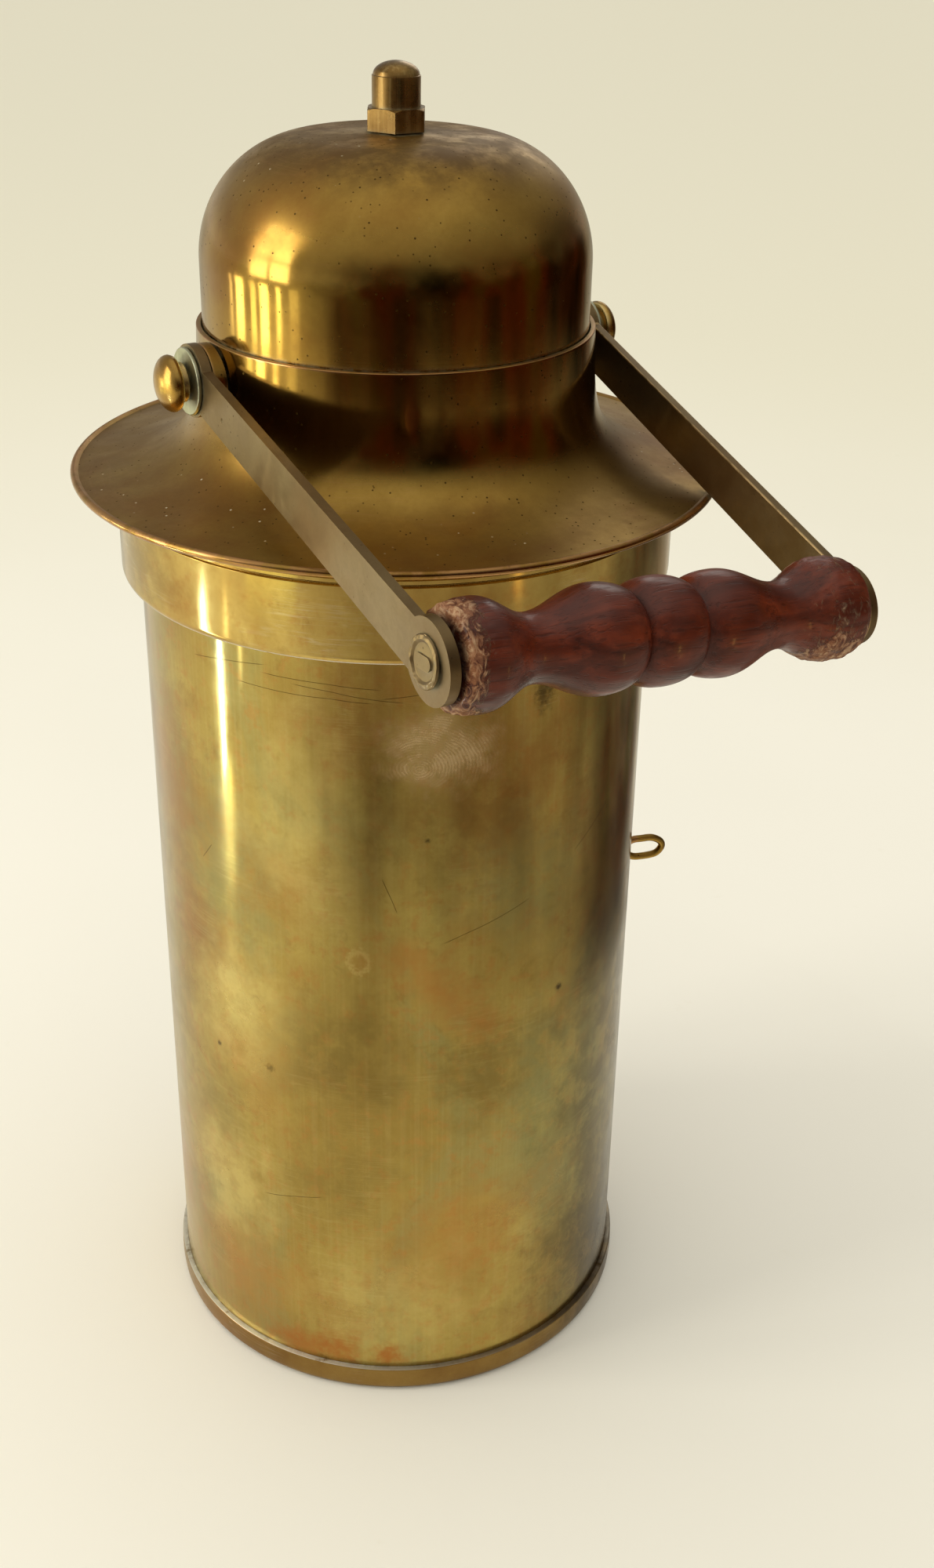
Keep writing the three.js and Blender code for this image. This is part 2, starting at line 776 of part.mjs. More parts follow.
function doorFrame() {
  const [freeEdge, hingeEdge] = [openingFrom - doorLapFree, openingTo + doorLapHinge];
  const [viewFrom, viewTo] = [doorCentre - windowHalf, doorCentre + windowHalf];
  const frame = arcPlate(doorInner, doorOuter, freeEdge, hingeEdge, doorFoot, doorTop);
  return cut(frame, arcPlate(doorInner - overrun, doorOuter + overrun, viewFrom, viewTo, windowFoot, windowTop));
}
add('door_frame', doorFrame(), paleBrass());

const glassOuter = doorInner - fitGap;
const glassInner = glassOuter - glassThickness;
const glassFoot = windowFoot - glassLapHeight;
const glassTop = windowTop + glassLapHeight;
const glassFrom = doorCentre - windowHalf - glassLap;
const glassTo = doorCentre + windowHalf + glassLap;
add('window_glass', arcPlate(glassInner, glassOuter, glassFrom, glassTo, glassFoot, glassTop), glass());

function retainer(edge, away) {
  const foot = edge + away * fitGap;
  const lipInner = glassInner - fitGap - retainerSheet;
  const spanOf = (a, b) => [Math.min(a, b), Math.max(a, b)];
  const footSpan = spanOf(foot, foot + away * retainerHeight);
  const footPlate = arcPlate(lipInner, glassOuter, glassFrom, glassTo, ...footSpan);
  const lipPlate = arcPlate(
    lipInner, lipInner + retainerSheet, glassFrom, glassTo,
    ...spanOf(edge - away * retainerLip, foot + away * retainerHeight));
  return join(footPlate, lipPlate);
}
add('glass_retainer_top', retainer(glassTop, 1), paleBrass());
add('glass_retainer_bottom', retainer(glassFoot, -1), paleBrass());

function doorKnob() {
  const foot = doorOuter + fitGap;
  const top = foot + doorKnobLength;
  const waist = doorKnobRadius / 2;
  return turned([
    [0, foot],
    [doorKnobRadius, foot],
    [doorKnobRadius, foot + doorKnobLength / 8],
    [waist, foot + doorKnobLength / 4],
    [waist, foot + doorKnobLength / 2],
    ...shoulder(doorKnobRadius, top - doorKnobLength / 3, 0, top, cornerSteps),
  ], smallSteps);
}
add('door_knob', radial(doorKnob(), doorKnobAngle, doorKnobHeight), darkBrass());

// Hinges: knuckles round a pin, the body's leaf on the shell and the door's leaf on the frame
const knuckleCentre = bodyRadius + fitGap + sheet / 4 + knuckleRadius;

function knuckle(low, high) {
  const barrel = rod(knuckleRadius, low, high, smallSteps);
  return barrel.translate(knuckleCentre, 0, 0).rotateZ(hingeAngle);
}

function pinBore(low, high) {
  const bore = rod(hingePinRadius + fitGap, low - overrun, high + overrun, smallSteps);
  return bore.translate(knuckleCentre, 0, 0).rotateZ(hingeAngle);
}

for (const [place, centre] of Object.entries(hingeHeights)) {
  const [low, high] = [centre - hingeHeight / 2, centre + hingeHeight / 2];
  const [doorLow, doorHigh] = [centre - knuckleLength / 2, centre + knuckleLength / 2];
  const clear = (knuckleRadius + 2 * fitGap) / bodyRadius;
  const bodyLeafInner = bodyRadius + fitGap;
  const doorLeafInner = doorOuter + fitGap;
  const tabs = [[low, doorLow - fitGap], [doorHigh + fitGap, high]];
  const bodyPlate = arcPlate(
    bodyLeafInner, bodyLeafInner + leafSheet, hingeAngle + clear, hingeAngle + leafArc, low, high);
  const bodyTabs = tabs.map(([from, to]) =>
    arcPlate(bodyLeafInner, bodyLeafInner + leafSheet, hingeAngle, hingeAngle + 2 * clear, from, to));
  const bodyKnuckles = tabs.map(([from, to]) => knuckle(from, to));
  const bodyLeaf = cut(join(bodyPlate, ...bodyTabs, ...bodyKnuckles), pinBore(low, high));
  add(`${place}_hinge_body_leaf`, bodyLeaf, darkBrass());
  const doorPlate = arcPlate(
    doorLeafInner, doorLeafInner + leafSheet, hingeAngle - clear - leafArc, hingeAngle - clear, low, high);
  const doorTab = arcPlate(
    doorLeafInner, doorLeafInner + leafSheet, hingeAngle - 2 * clear, hingeAngle, doorLow, doorHigh);
  const doorLeaf = cut(join(doorPlate, doorTab, knuckle(doorLow, doorHigh)), pinBore(low, high));
  add(`${place}_hinge_door_leaf`, doorLeaf, darkBrass());
  const pin = turned([
    [0, low],
    [hingePinRadius, low],
    [hingePinRadius, high + fitGap],
    [hingePinHead, high + fitGap],
    [hingePinHead, high + fitGap + hingePinHeadHeight],
    [0, high + fitGap + hingePinHeadHeight],
  ], smallSteps);
  add(`${place}_hinge_pin`, pin.translate(knuckleCentre, 0, 0).rotateZ(hingeAngle), steel());
}

// Turn button beside the door, turned upright, which leaves the door free
const buttonFoot = doorInner + buttonSpacerThickness + fitGap;

function turnButton() {
  const radius = buttonWidth / 2;
  const reach = buttonLength / 2 - radius;
  const shape = new THREE.Shape();
  shape.absarc(0, reach, radius, 0, tau / 2, false);
  shape.absarc(0, -reach, radius, tau / 2, tau, false);
  const hole = new THREE.Path();
  hole.absarc(0, 0, buttonStudRadius + fitGap, 0, tau, true);
  shape.holes.push(hole);
  return extruded(shape, buttonThickness, smallSteps).rotateZ(tau / 4).translate(0, 0, buttonFoot);
}

function buttonStud() {
  const headFoot = buttonFoot + buttonThickness + fitGap;
  const headTop = headFoot + buttonHeadThickness;
  const tail = bodyInner - fitGap;
  return turned([
    [0, tail - buttonHeadThickness],
    [buttonHeadRadius, tail - buttonHeadThickness],
    [buttonHeadRadius, tail],
    [buttonStudRadius, tail],
    [buttonStudRadius, headFoot],
    [buttonHeadRadius, headFoot],
    ...shoulder(buttonHeadRadius, headFoot + buttonHeadThickness / 3, 0, headTop, cornerSteps),
  ], smallSteps);
}
add('turn_button', radial(turnButton(), buttonAngle, buttonHeight), darkBrass());
add('button_stud', radial(buttonStud(), buttonAngle, buttonHeight), darkBrass());
const buttonSpacer = tube(
  buttonStudRadius + fitGap, buttonSpacerRadius, doorInner, doorInner + buttonSpacerThickness, smallSteps);
add('button_spacer', radial(buttonSpacer, buttonAngle, buttonHeight), darkBrass());

// Flue cone under the cowl
function flueCone() {
  const outer = bodyInner - fitGap;
  return turned([
    [outer, coneFoot - coneFlange],
    [outer, coneFoot],
    [coneMouth, coneTop],
    [coneMouth - sheet, coneTop],
    [outer - sheet, coneFoot - sheet / 2],
    [outer - sheet, coneFoot - coneFlange],
  ], roundSteps);
}
add('flue_cone', flueCone(), steel());

// Reflector behind the flame: a bent tinned sheet whose edges meet the body
function reflector() {
  const shift = reflectorRadius - reflectorDepth;
  const reach = bodyInner - 2 * fitGap;
  const cosine = (reflectorRadius ** 2 + shift ** 2 - reach ** 2) / (2 * reflectorRadius * shift);
  const half = Math.acos(cosine);
  const plate = arcPlate(
    reflectorRadius - reflectorSheet, reflectorRadius, -tau / 4 - half, -tau / 4 + half,
    reflectorFoot, reflectorTop);
  return plate.translate(0, shift, 0);
}
add('reflector', reflector(), tinned());

// Font tray on the pan floor
const trayFoot = panFloor + fitGap;
const fontFoot = trayFoot + sheet + fitGap;

function fontTray() {
  const inner = fontRadius + fitGap;
  const outer = inner + sheet;
  return turned([
    [0, trayFoot],
    [outer, trayFoot],
    [outer, trayFoot + trayHeight],
    [inner, trayFoot + trayHeight],
    [inner, trayFoot + sheet],
    [0, trayFoot + sheet],
  ], midSteps);
}
add('font_tray', fontTray(), steel());

// Font: a hollow turned tank with a filler neck at its shoulder
function font() {
  const outer = shoulder(fontRadius, fontShoulder, fontNeckRadius, fontTop, fontSteps);
  const inner = shoulder(fontRadius - fontWall, fontShoulder, fontNeckRadius, fontTop - fontWall, fontSteps);
  const tank = turned([
    [0, fontFoot],
    [fontRadius, fontFoot],
    ...outer,
    [fontMouth, fontTop],
    [fontMouth, fontTop - fontWall],
    ...inner.reverse(),
    [fontRadius - fontWall, fontFoot + fontWall],
    [0, fontFoot + fontWall],
  ], midSteps);
  const neck = rod(fillerRadius, fillerFoot, fillerTop, smallSteps).translate(0, fillerPlace, 0);
  const bore = rod(fillerBore, fillerFoot - overrun, fillerTop + overrun, smallSteps).translate(0, fillerPlace, 0);
  return cut(join(tank, neck), bore);
}
add('font', font(), paleBrass());

function fillerCap() {
  const wallInner = fillerRadius + fitGap;
  const top = fillerTop + fitGap + fillerCapTop;
  return turned([
    [0, top - fillerCapTop],
    [wallInner, top - fillerCapTop],
    [wallInner, top - fillerCapHeight],
    [fillerCapRadius, top - fillerCapHeight],
    [fillerCapRadius, top - panLip],
    [fillerCapRadius - panLip, top],
    [0, top],
  ], smallSteps).translate(0, fillerPlace, 0);
}
add('filler_cap', fillerCap(), darkBrass());

// Burner, turned so that its winder reaches the hole in the body
const burner = new THREE.Group();
burner.rotation.z = burnerTurn;
lamp.add(burner);

function burnerCollar() {
  const foot = fontTop + fitGap;
  const skirt = fontMouth - fitGap;
  return turned([
    [collarBore, foot - collarSkirt],
    [skirt, foot - collarSkirt],
    [skirt, foot],
    [collarRadius, foot],
    [collarRadius, foot + collarHeight - fitGap],
    [collarBore, foot + collarHeight - fitGap],
  ], midSteps);
}
add('burner_collar', burnerCollar(), paleBrass(), burner);

function winderTool(radius, low, high) {
  return alongX(rod(radius, low, high, smallSteps)).translate(0, winderOffset, winderHeight);
}

function burnerBody() {
  const hip = burnerFoot + burnerHipHeight;
  const shell = turned([
    [collarBore, burnerFoot],
    [collarRadius, burnerFoot],
    [burnerRadius, hip],
    [burnerRadius, burnerTop],
    [burnerRadius - burnerWall, burnerTop],
    [burnerRadius - burnerWall, hip + burnerWall / 2],
    [collarRadius - burnerWall / 2, burnerFoot + burnerWall],
    [collarBore, burnerFoot + burnerWall],
  ], midSteps);
  const airHoles = Array.from({ length: burnerHoleCount }, (_, i) =>
    alongX(rod(burnerHoleRadius, burnerRadius - overrun, burnerRadius + overrun, smallSteps / 2))
      .rotateZ(((i + 1 / 2) / burnerHoleCount) * tau).translate(0, 0, burnerHoleHeight));
  const shaftHole = winderTool(winderShaftRadius + fitGap, 0, burnerRadius + overrun);
  return cut(shell, ...airHoles, shaftHole);
}
add('burner_body', burnerBody(), paleBrass(), burner);

function wickTube() {
  const [innerWidth, innerDepth] = [wickWidth + 2 * fitGap, wickThickness + 2 * fitGap];
  const [outerWidth, outerDepth] = [innerWidth + 2 * wickTubeWall, innerDepth + 2 * wickTubeWall];
  const outer = block(outerWidth, outerDepth, wickTubeFoot, wickTubeTop);
  const plateFoot = burnerFoot + burnerHipHeight + burnerWall / 2 + fitGap;
  const plate = rod(burnerRadius - burnerWall - fitGap, plateFoot, plateFoot + burnerWall, midSteps);
  const inner = block(innerWidth, innerDepth, wickTubeFoot - overrun, wickTubeTop + overrun);
  const spurRoom = spurRadius + fitGap;
  const windowCut = block(spurWidth + 2 * fitGap, 2 * spurRoom, winderHeight - spurRoom, winderHeight + spurRoom)
    .translate(0, spurRoom, 0);
  return cut(join(outer, plate), inner, windowCut);
}
add('wick_tube', wickTube(), paleBrass(), burner);
add('wick', block(wickWidth, wickThickness, wickFoot, wickTop), cotton(), burner);

function gallery() {
  const inner = burnerRadius + fitGap;
  const rimInner = galleryRadius - sheet;
  const ring = turned([
    [inner, galleryHeight],
    [galleryRadius, galleryHeight],
    [galleryRadius, galleryHeight + galleryRim],
    [rimInner, galleryHeight + galleryRim],
    [rimInner, galleryHeight + sheet],
    [inner, galleryHeight + sheet],
  ], midSteps);
  const prongs = Array.from({ length: prongCount }, (_, i) => {
    const centre = ((i + 1 / 2) / prongCount) * tau;
    return arcPlate(
      rimInner + sheet / 4, galleryRadius, centre - prongHalf, centre + prongHalf,
      galleryHeight + sheet, galleryHeight + prongHeight);
  });
  return join(ring, ...prongs);
}
add('gallery', gallery(), paleBrass(), burner);

function flameSpreader() {
  const foot = burnerTop + fitGap;
  const side = foot + spreaderSkirt;
  const top = side + spreaderRise;
  const inner = spreaderRadius - spreaderWall;
  const shell = turned([
    [inner, foot],
    [spreaderRadius, foot],
    ...shoulder(spreaderRadius, side, 0, top, spreaderSteps),
    ...shoulder(inner, side, 0, top - spreaderWall, spreaderSteps).reverse(),
  ], midSteps);
  const slotWidth = wickWidth + 4 * fitGap + 2 * wickTubeWall;
  const slotDepth = wickThickness + 4 * fitGap + 2 * wickTubeWall;
  return cut(shell, block(slotWidth, slotDepth, foot - overrun, top + overrun));
}
add('flame_spreader', flameSpreader(), paleBrass(), burner);

// Wick winder: spur wheel on a long shaft whose outer end is a wire loop
function spurWheel() {
  const shape = new THREE.Shape();
  for (let i = 0; i < 2 * spurTeeth; i += 1) {
    const radius = i % 2 ? spurRadius - spurDepth : spurRadius;
    const angle = (i / (2 * spurTeeth)) * tau;
    const point = [radius * Math.cos(angle), radius * Math.sin(angle)];
    if (i) shape.lineTo(...point);
    else shape.moveTo(...point);
  }
  const hole = new THREE.Path();
  hole.absarc(0, 0, winderShaftRadius + fitGap, 0, tau, true);
  shape.holes.push(hole);
  const wheel = extruded(shape, spurWidth, smallSteps);
  return alongX(wheel.translate(0, 0, -spurWidth / 2)).translate(0, winderOffset, winderHeight);
}
add('spur_wheel', spurWheel(), steel(), burner);

function winderShaft() {
  const shaft = alongX(rod(winderShaftRadius, -winderInnerEnd, keyNeck, smallSteps / 2));
  const bend = keyHalfWidth;
  const line = new THREE.CatmullRomCurve3([
    new THREE.Vector3(keyNeck - bend, 0, 0),
    new THREE.Vector3(keyNeck, 0, 0),
    new THREE.Vector3(keyNeck + bend, 0, keyHalfWidth * keyShoulderShare),
    new THREE.Vector3(keyNeck + 2 * bend, 0, keyHalfWidth),
    new THREE.Vector3(keyReach - bend, 0, keyHalfWidth),
    new THREE.Vector3(keyReach - keyWireRadius, 0, 0),
    new THREE.Vector3(keyReach - bend, 0, -keyHalfWidth),
    new THREE.Vector3(keyNeck + 2 * bend, 0, -keyHalfWidth),
    new THREE.Vector3(keyNeck + bend, 0, -keyHalfWidth * keyShoulderShare),
    new THREE.Vector3(keyNeck, 0, -keyWireRadius / 4),
  ]);
  const section = new THREE.Shape();
  section.absarc(0, 0, keyWireRadius, 0, tau, false);
  const options = { steps: keySteps, curveSegments: wireSteps, extrudePath: line };
  const loop = new THREE.ExtrudeGeometry(section, options);
  return join(shaft, loop).translate(0, winderOffset, winderHeight);
}
add('winder_shaft', winderShaft(), darkBrass(), burner);

// Bush that lines the winder's hole, seated on the outside of the body
function winderBush() {
  const reach = Math.sqrt(bodyRadius * bodyRadius - winderOffset * winderOffset);
  const flange = tube(
    winderShaftRadius + fitGap, bushRadius, reach - bushFlange, reach + 2 * bushFlange, smallSteps);
  const body = turned([
    [0, winderHeight - 2 * bushRadius],
    [bodyRadius + fitGap, winderHeight - 2 * bushRadius],
    [bodyRadius + fitGap, winderHeight + 2 * bushRadius],
    [0, winderHeight + 2 * bushRadius],
  ], roundSteps);
  return cut(alongX(flange).translate(0, winderOffset, winderHeight), body.rotateZ(-burnerTurn));
}
add('winder_bush', winderBush(), darkBrass(), burner);

// Glass chimney on the gallery
function chimneyOutline(inset) {
  const foot = galleryHeight + sheet + fitGap;
  const waist = foot + chimneyBaseSpan;
  const bulge = waist + chimneyBulgeSpan;
  const neck = bulge + chimneyTaperSpan;
  const ease = (share) => (1 - Math.cos(share * Math.PI)) / 2;
  const points = [[chimneyBase - inset, foot], [chimneyWaist - inset, waist]];
  for (const share of [1 / 2, 1]) {
    const radius = chimneyWaist + (chimneyBulge - chimneyWaist) * ease(share);
    points.push([radius - inset, waist + chimneyBulgeSpan * share]);
  }
  for (const share of [1 / 4, 1 / 2, 3 / 4, 1]) {
    const radius = chimneyBulge + (chimneyMouth - chimneyBulge) * ease(share);
    points.push([radius - inset, bulge + chimneyTaperSpan * share]);
  }
  points.push([chimneyMouth - inset, neck + chimneyNeckSpan]);
  return points;
}
add('glass_chimney', turned([...chimneyOutline(0), ...chimneyOutline(chimneyWall).reverse()], midSteps), glass());

export default lamp;
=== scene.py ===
import json
import math

import bmesh
import bpy
import numpy as np
from mathutils import Matrix, Vector, noise


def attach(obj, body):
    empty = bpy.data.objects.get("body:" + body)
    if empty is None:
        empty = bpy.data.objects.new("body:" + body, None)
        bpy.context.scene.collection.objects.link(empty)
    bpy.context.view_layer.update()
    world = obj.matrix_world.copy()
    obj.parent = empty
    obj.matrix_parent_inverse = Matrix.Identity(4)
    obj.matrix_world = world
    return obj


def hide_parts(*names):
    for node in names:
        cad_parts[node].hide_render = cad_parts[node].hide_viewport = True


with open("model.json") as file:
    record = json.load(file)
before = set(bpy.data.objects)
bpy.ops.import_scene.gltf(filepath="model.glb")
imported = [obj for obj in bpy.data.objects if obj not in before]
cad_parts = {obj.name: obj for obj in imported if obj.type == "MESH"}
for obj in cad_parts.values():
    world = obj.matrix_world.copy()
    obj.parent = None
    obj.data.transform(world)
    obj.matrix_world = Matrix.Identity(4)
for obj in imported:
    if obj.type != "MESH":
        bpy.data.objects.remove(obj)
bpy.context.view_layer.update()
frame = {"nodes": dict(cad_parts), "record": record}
record = frame["record"]
BODY_OF = {node: body for body, nodes in record["behaviour"]["bodies"].items() for node in nodes}
SLOT_OF = {part["node"]: part["material_slot"] for part in record["subparts"]}

# Sizes in millimetres, named as the CAD source names them. Meshes are turned into metres when made.
MM = 0.001
TAU = 2 * math.pi
FINE = 256
ROUND = 192
MID = 96
SMALL = 40
SPECK = 0.001
OVERRUN = 4

FIT = 0.3
SHEET = 1.2
BODY_R = 60
BODY_TOP = 233
PAN_R = 61.4
PAN_H = 7.2
PAN_FLOOR = 1.8
PAN_CORNER = 2.2
BAND_R = 64.25
BAND_FOOT = 208.95
BAND_CORNER = 2
LIP_TOP = 265.1
LIP_R = 44.4
NECK_R = 44.7
NECK_FOOT = 258
BRIM_R = 74.2
BRIM_Z = 233
BEAD_R = 0.9
FLARE_DROP = 18
FLARE_REACH = 5.3
FLARE_RISE = 3.5
FLUE_R = 2.5
FLUE_Z = 250.5
INLET_R = 2.5
INLET_Z = 14
DOME_R = 43.1
DOME_FOOT = 263.2
SHOULDER_Z = 279
SHOULDER_TOP = 304.6
DOME_TOP = 305.3
CROWN_R = 18.5
ROD_R = 3
NUT_FOOT = DOME_TOP + FIT
NUT_AF = 12
NUT_HEX = 4.6
NUT_TOP = NUT_FOOT + 13.8
NUT_R = 5.2
NUT_CROWN = 2.8
PIVOT_Z = 257.4
STRAP_OUT = 49.8
STRAP_T = 2.2
STRAP_IN = STRAP_OUT - STRAP_T
STRAP_LEN = 108
EYE_UP = 7.8
EYE_LOW = 8.3
DEPTH_UP = 10
DEPTH_LOW = 11.4
RACK = math.radians(5)
STUD_R = 2.5
STUD_TAIL = 37
STUD_COLLAR_H = 1.7
STUD_HEAD_R = 6.05
STUD_HEAD_H = 4.2
WASHER_R = 7.2
WASHER_T = 0.8
SPACER_R = 7.6
GRIP_CREST = 10.65
GRIP_NECK = 6.7
GRIP_GROOVE = 7.8
GRIP_END = 9.4
GRIP_GAP = 1.25
GRIP_CHEWED = math.radians(60)
GRIP_ROD_R = 2.4
DOOR_MID = math.radians(90)
OPEN_HALF = math.radians(38)
OPEN_FOOT = 22
OPEN_TOP = 196
DOOR_IN = BODY_R + FIT
DOOR_OUT = DOOR_IN + SHEET
DOOR_LAP = 4
LAP_FREE = math.radians(4)
LAP_HINGE = math.radians(1.4)
WINDOW_HALF = math.radians(26)
WINDOW_FOOT = 60
WINDOW_TOP = 184
GLASS_OUT = DOOR_IN - FIT
GLASS_IN = GLASS_OUT - 2
GLASS_LAP = math.radians(3)
GLASS_LAP_Z = 4
RETAINER_RAIL = 2.2
RETAINER_LAP = 3.5
HINGE_AT = math.radians(132)
HINGE_Z = {"lower": 55, "upper": 165}
HINGE_H = 24
HINGE_BORE = 1.3
KNUCKLE_R = 2.2
KNUCKLE_L = 8
KNUCKLE_AT = BODY_R + FIT + SHEET / 4 + KNUCKLE_R
PIN_R = 1
PIN_HEAD_R = 1.6
LEAF = 1
LEAF_ARC = math.radians(10)
BUTTON_AT = math.radians(42)
BUTTON_Z = 120
BUTTON_T = 1.2
BUTTON_END_R = 3.25
BUTTON_END_AT = 5.75
BUTTON_BORE = 1.8
BUTTON_HEAD_R = 2.8
BUTTON_STUD_R = 1.5
BUTTON_LIFT = 1.4
KNOB_AT = math.radians(56)
KNOB_Z = 98
KNOB_R = 3.6
KNOB_H = 8
BURNER_TURN = math.radians(-20)
WINDER_OFF = 5.8
WINDER_Z = 120
WINDER_R = 1.3
WINDER_TAIL = -9
KEY_NECK = 61.6
KEY_REACH = 73.6
KEY_WIRE = 0.95
KEY_HALF = 2.7
COLLAR_R = 13
COLLAR_BORE = 8.3
COLLAR_TAIL_R = 9.7
COLLAR_H = 3.7
TRAY_R = 36.6
TRAY_FOOT = 2.1
TRAY_TOP = 10.1
FONT_R = 35.1
FONT_FOOT = 3.6
FONT_SHOULDER = 78
FONT_TOP = 95
FONT_CROWN_R = 14
FONT_MOUTH_R = 10
BURNER_R = 15
BURNER_FOOT = 99.3
BURNER_TOP = 128
BURNER_HOLES = 8
BURNER_HOLES_R = 1.7
BURNER_HOLES_Z = 110
GALLERY_R = 24.4
GALLERY_Z = 122
GALLERY_H = 4
PRONGS = 4
PRONG_HALF = math.radians(9)
PRONG_TOP = 9
SPREADER_R = 13.6
SPREADER_SIDE = 2.5
SPREADER_RISE = 12
FILLER_AT = 24
FILLER_TOP = 100.6
FILLER_R = 5.8
FILLER_BORE = 4.6
CAP_R = 7.6
CAP_BORE = 6.1
CAP_T = 1.4
CAP_SKIRT = 5
REFLECTOR_R = 75
REFLECTOR_SHIFT = 27
REFLECTOR_T = 0.8
REFLECTOR_Z = (112, 192)


# Outlines: lists of (radius, height, corner radius), and once rounded of (radius, height, wear)
def ellipse_quarter(side_r, side_z, top_r, top_z, steps):
    """Points of a quarter ellipse from a side point to a top point."""
    return [
        (
            top_r + (side_r - top_r) * math.cos(i / steps * TAU / 4),
            side_z + (top_z - side_z) * math.sin(i / steps * TAU / 4),
        )
        for i in range(steps + 1)
    ]


def rounded(points, radius=0.35, closed=True, steps=4):
    """Rounds the corners of an outline. A point may carry its own radius; smooth curve points stay."""
    out = []
    count = len(points)
    smooth = math.radians(152)
    for i, point in enumerate(points):
        here = Vector(point[:2])
        own = point[2] if len(point) > 2 else radius
        back = Vector(points[i - 1][:2]) - here
        ahead = Vector(points[(i + 1) % count][:2]) - here
        fixed = own == 0 or (not closed and i in (0, count - 1))
        corner = TAU / 2 if fixed else back.angle(ahead)
        if corner > smooth:
            out.append((here.x, here.y, 0))
            continue
        reach = min(own / math.tan(corner / 2), back.length * 0.45, ahead.length * 0.45)
        start = here + back.normalized() * reach
        end = here + ahead.normalized() * reach
        guard = reach * 1.1
        if back.length > 2.5 * guard + reach:
            before = start + back.normalized() * guard
            out.append((before.x, before.y, 0))
        for k in range(steps + 1):
            t = k / steps
            place = start * (1 - t) ** 2 + here * 2 * t * (1 - t) + end * t ** 2
            out.append((place.x, place.y, 1))
        if ahead.length > 2.5 * guard + reach:
            after = end + ahead.normalized() * guard
            out.append((after.x, after.y, 0))
    return out


# Raw meshes: (points, faces, wear per point), in millimetres
def outward(points, faces, wear):
    """Turns the faces to point out of the solid."""
    points = np.asarray(points, dtype=float)
    volume = 0.0
    for face in faces:
        a = points[face[0]]
        for j in range(1, len(face) - 1):
            volume += float(np.dot(a, np.cross(points[face[j]], points[face[j + 1]])))
    if volume < 0:
        faces = [tuple(reversed(face)) for face in faces]
    return points, faces, wear


def lathe(outline, steps=ROUND):
    """Turns an outline about Z. It is closed to itself, or runs from axis to axis."""
    on_axis = outline[0][0] < SPECK and outline[-1][0] < SPECK
    points, wear, rings = [], [], []
    turns = np.arange(steps) / steps * TAU
    for radius, height, *rest in outline:
        rub = rest[0] if rest else 0
        if radius < SPECK:
            rings.append([len(points)] * steps)
            points.append((0, 0, height))
            wear.append(rub)
            continue
        rings.append(list(range(len(points), len(points) + steps)))
        points += [(radius * math.cos(t), radius * math.sin(t), height) for t in turns]
        wear += [rub] * steps
    pairs = list(zip(rings, rings[1:]))
    if not on_axis:
        pairs.append((rings[-1], rings[0]))
    faces = []
    for low, high in pairs:
        for i in range(steps):
            j = (i + 1) % steps
            unique = tuple(dict.fromkeys((low[i], low[j], high[j], high[i])))
            if len(unique) > 2:
                faces.append(unique)
    return outward(points, faces, wear)


def spindle(outline, steps=MID, radius=0.3):
    """A turned solid: the outline runs from axis to axis, and its corners are rounded."""
    return lathe(rounded(outline, radius, closed=False), steps)


def hoop(outline, steps=MID, radius=0.3):
    """A turned ring: the outline closes on itself, and its corners are rounded."""
    return lathe(rounded(outline, radius), steps)


def rod(radius, low, high, steps=SMALL):
    return lathe([(0, low), (radius, low), (radius, high), (0, high)], steps)


def tube(inner, outer, low, high, steps=MID, radius=0.3):
    return hoop([(inner, low), (outer, low), (outer, high), (inner, high)], steps, radius)


def prism(outline, low, high):
    """A flat outline in XY, extruded between two heights."""
    count = len(outline)
    points = [(x, y, low) for x, y in outline] + [(x, y, high) for x, y in outline]
    faces = [tuple(range(count))[::-1], tuple(range(count, 2 * count))]
    faces += [(i, (i + 1) % count, count + (i + 1) % count, count + i) for i in range(count)]
    return outward(points, faces, [0] * len(points))


def box(width, depth, low, high):
    half_w, half_d = width / 2, depth / 2
    return prism([(-half_w, -half_d), (half_w, -half_d), (half_w, half_d), (-half_w, half_d)], low, high)


def hexagon(across, low, high):
    corner = across / math.sqrt(3)
    turns = [k * TAU / 6 for k in range(6)]
    return prism([(corner * math.cos(turn), corner * math.sin(turn)) for turn in turns], low, high)


def arc_points(x, y, radius, start, end, steps):
    turns = [start + (end - start) * i / steps for i in range(steps + 1)]
    return [(x + radius * math.cos(turn), y + radius * math.sin(turn)) for turn in turns]


def oblong(half, radius, steps):
    """A flat outline with straight sides along Y and round ends."""
    far = arc_points(0, half, radius, 0, TAU / 2, steps)
    return far + arc_points(0, -half, radius, TAU / 2, TAU, steps)


def arc_steps(start, end, fine):
    return max(3, math.ceil(math.degrees(end - start) / fine))


def arc_plate(inner, outer, start, end, low, high, fine=1.5):
    """Part of a ring between two radii, two angles and two heights."""
    steps = arc_steps(start, end, fine)
    outline = arc_points(0, 0, outer, start, end, steps) + arc_points(0, 0, inner, end, start, steps)
    return prism(outline, low, high)


def arc_strip(inner, outer, start, end, low, high, fine=1.5):
    """As arc_plate, in quads all round, for curved sheets that take a bevel."""
    steps = arc_steps(start, end, fine)
    corners = [(inner, low), (outer, low), (outer, high), (inner, high)]
    points, faces = [], []
    for i in range(steps + 1):
        angle = start + (end - start) * i / steps
        points += [(r * math.cos(angle), r * math.sin(angle), z) for r, z in corners]
    for i in range(steps):
        for c in range(4):
            d = (c + 1) % 4
            faces.append((4 * i + c, 4 * i + d, 4 * i + 4 + d, 4 * i + 4 + c))
    faces += [(3, 2, 1, 0), tuple(4 * steps + c for c in range(4))]
    return outward(points, faces, [0] * len(points))


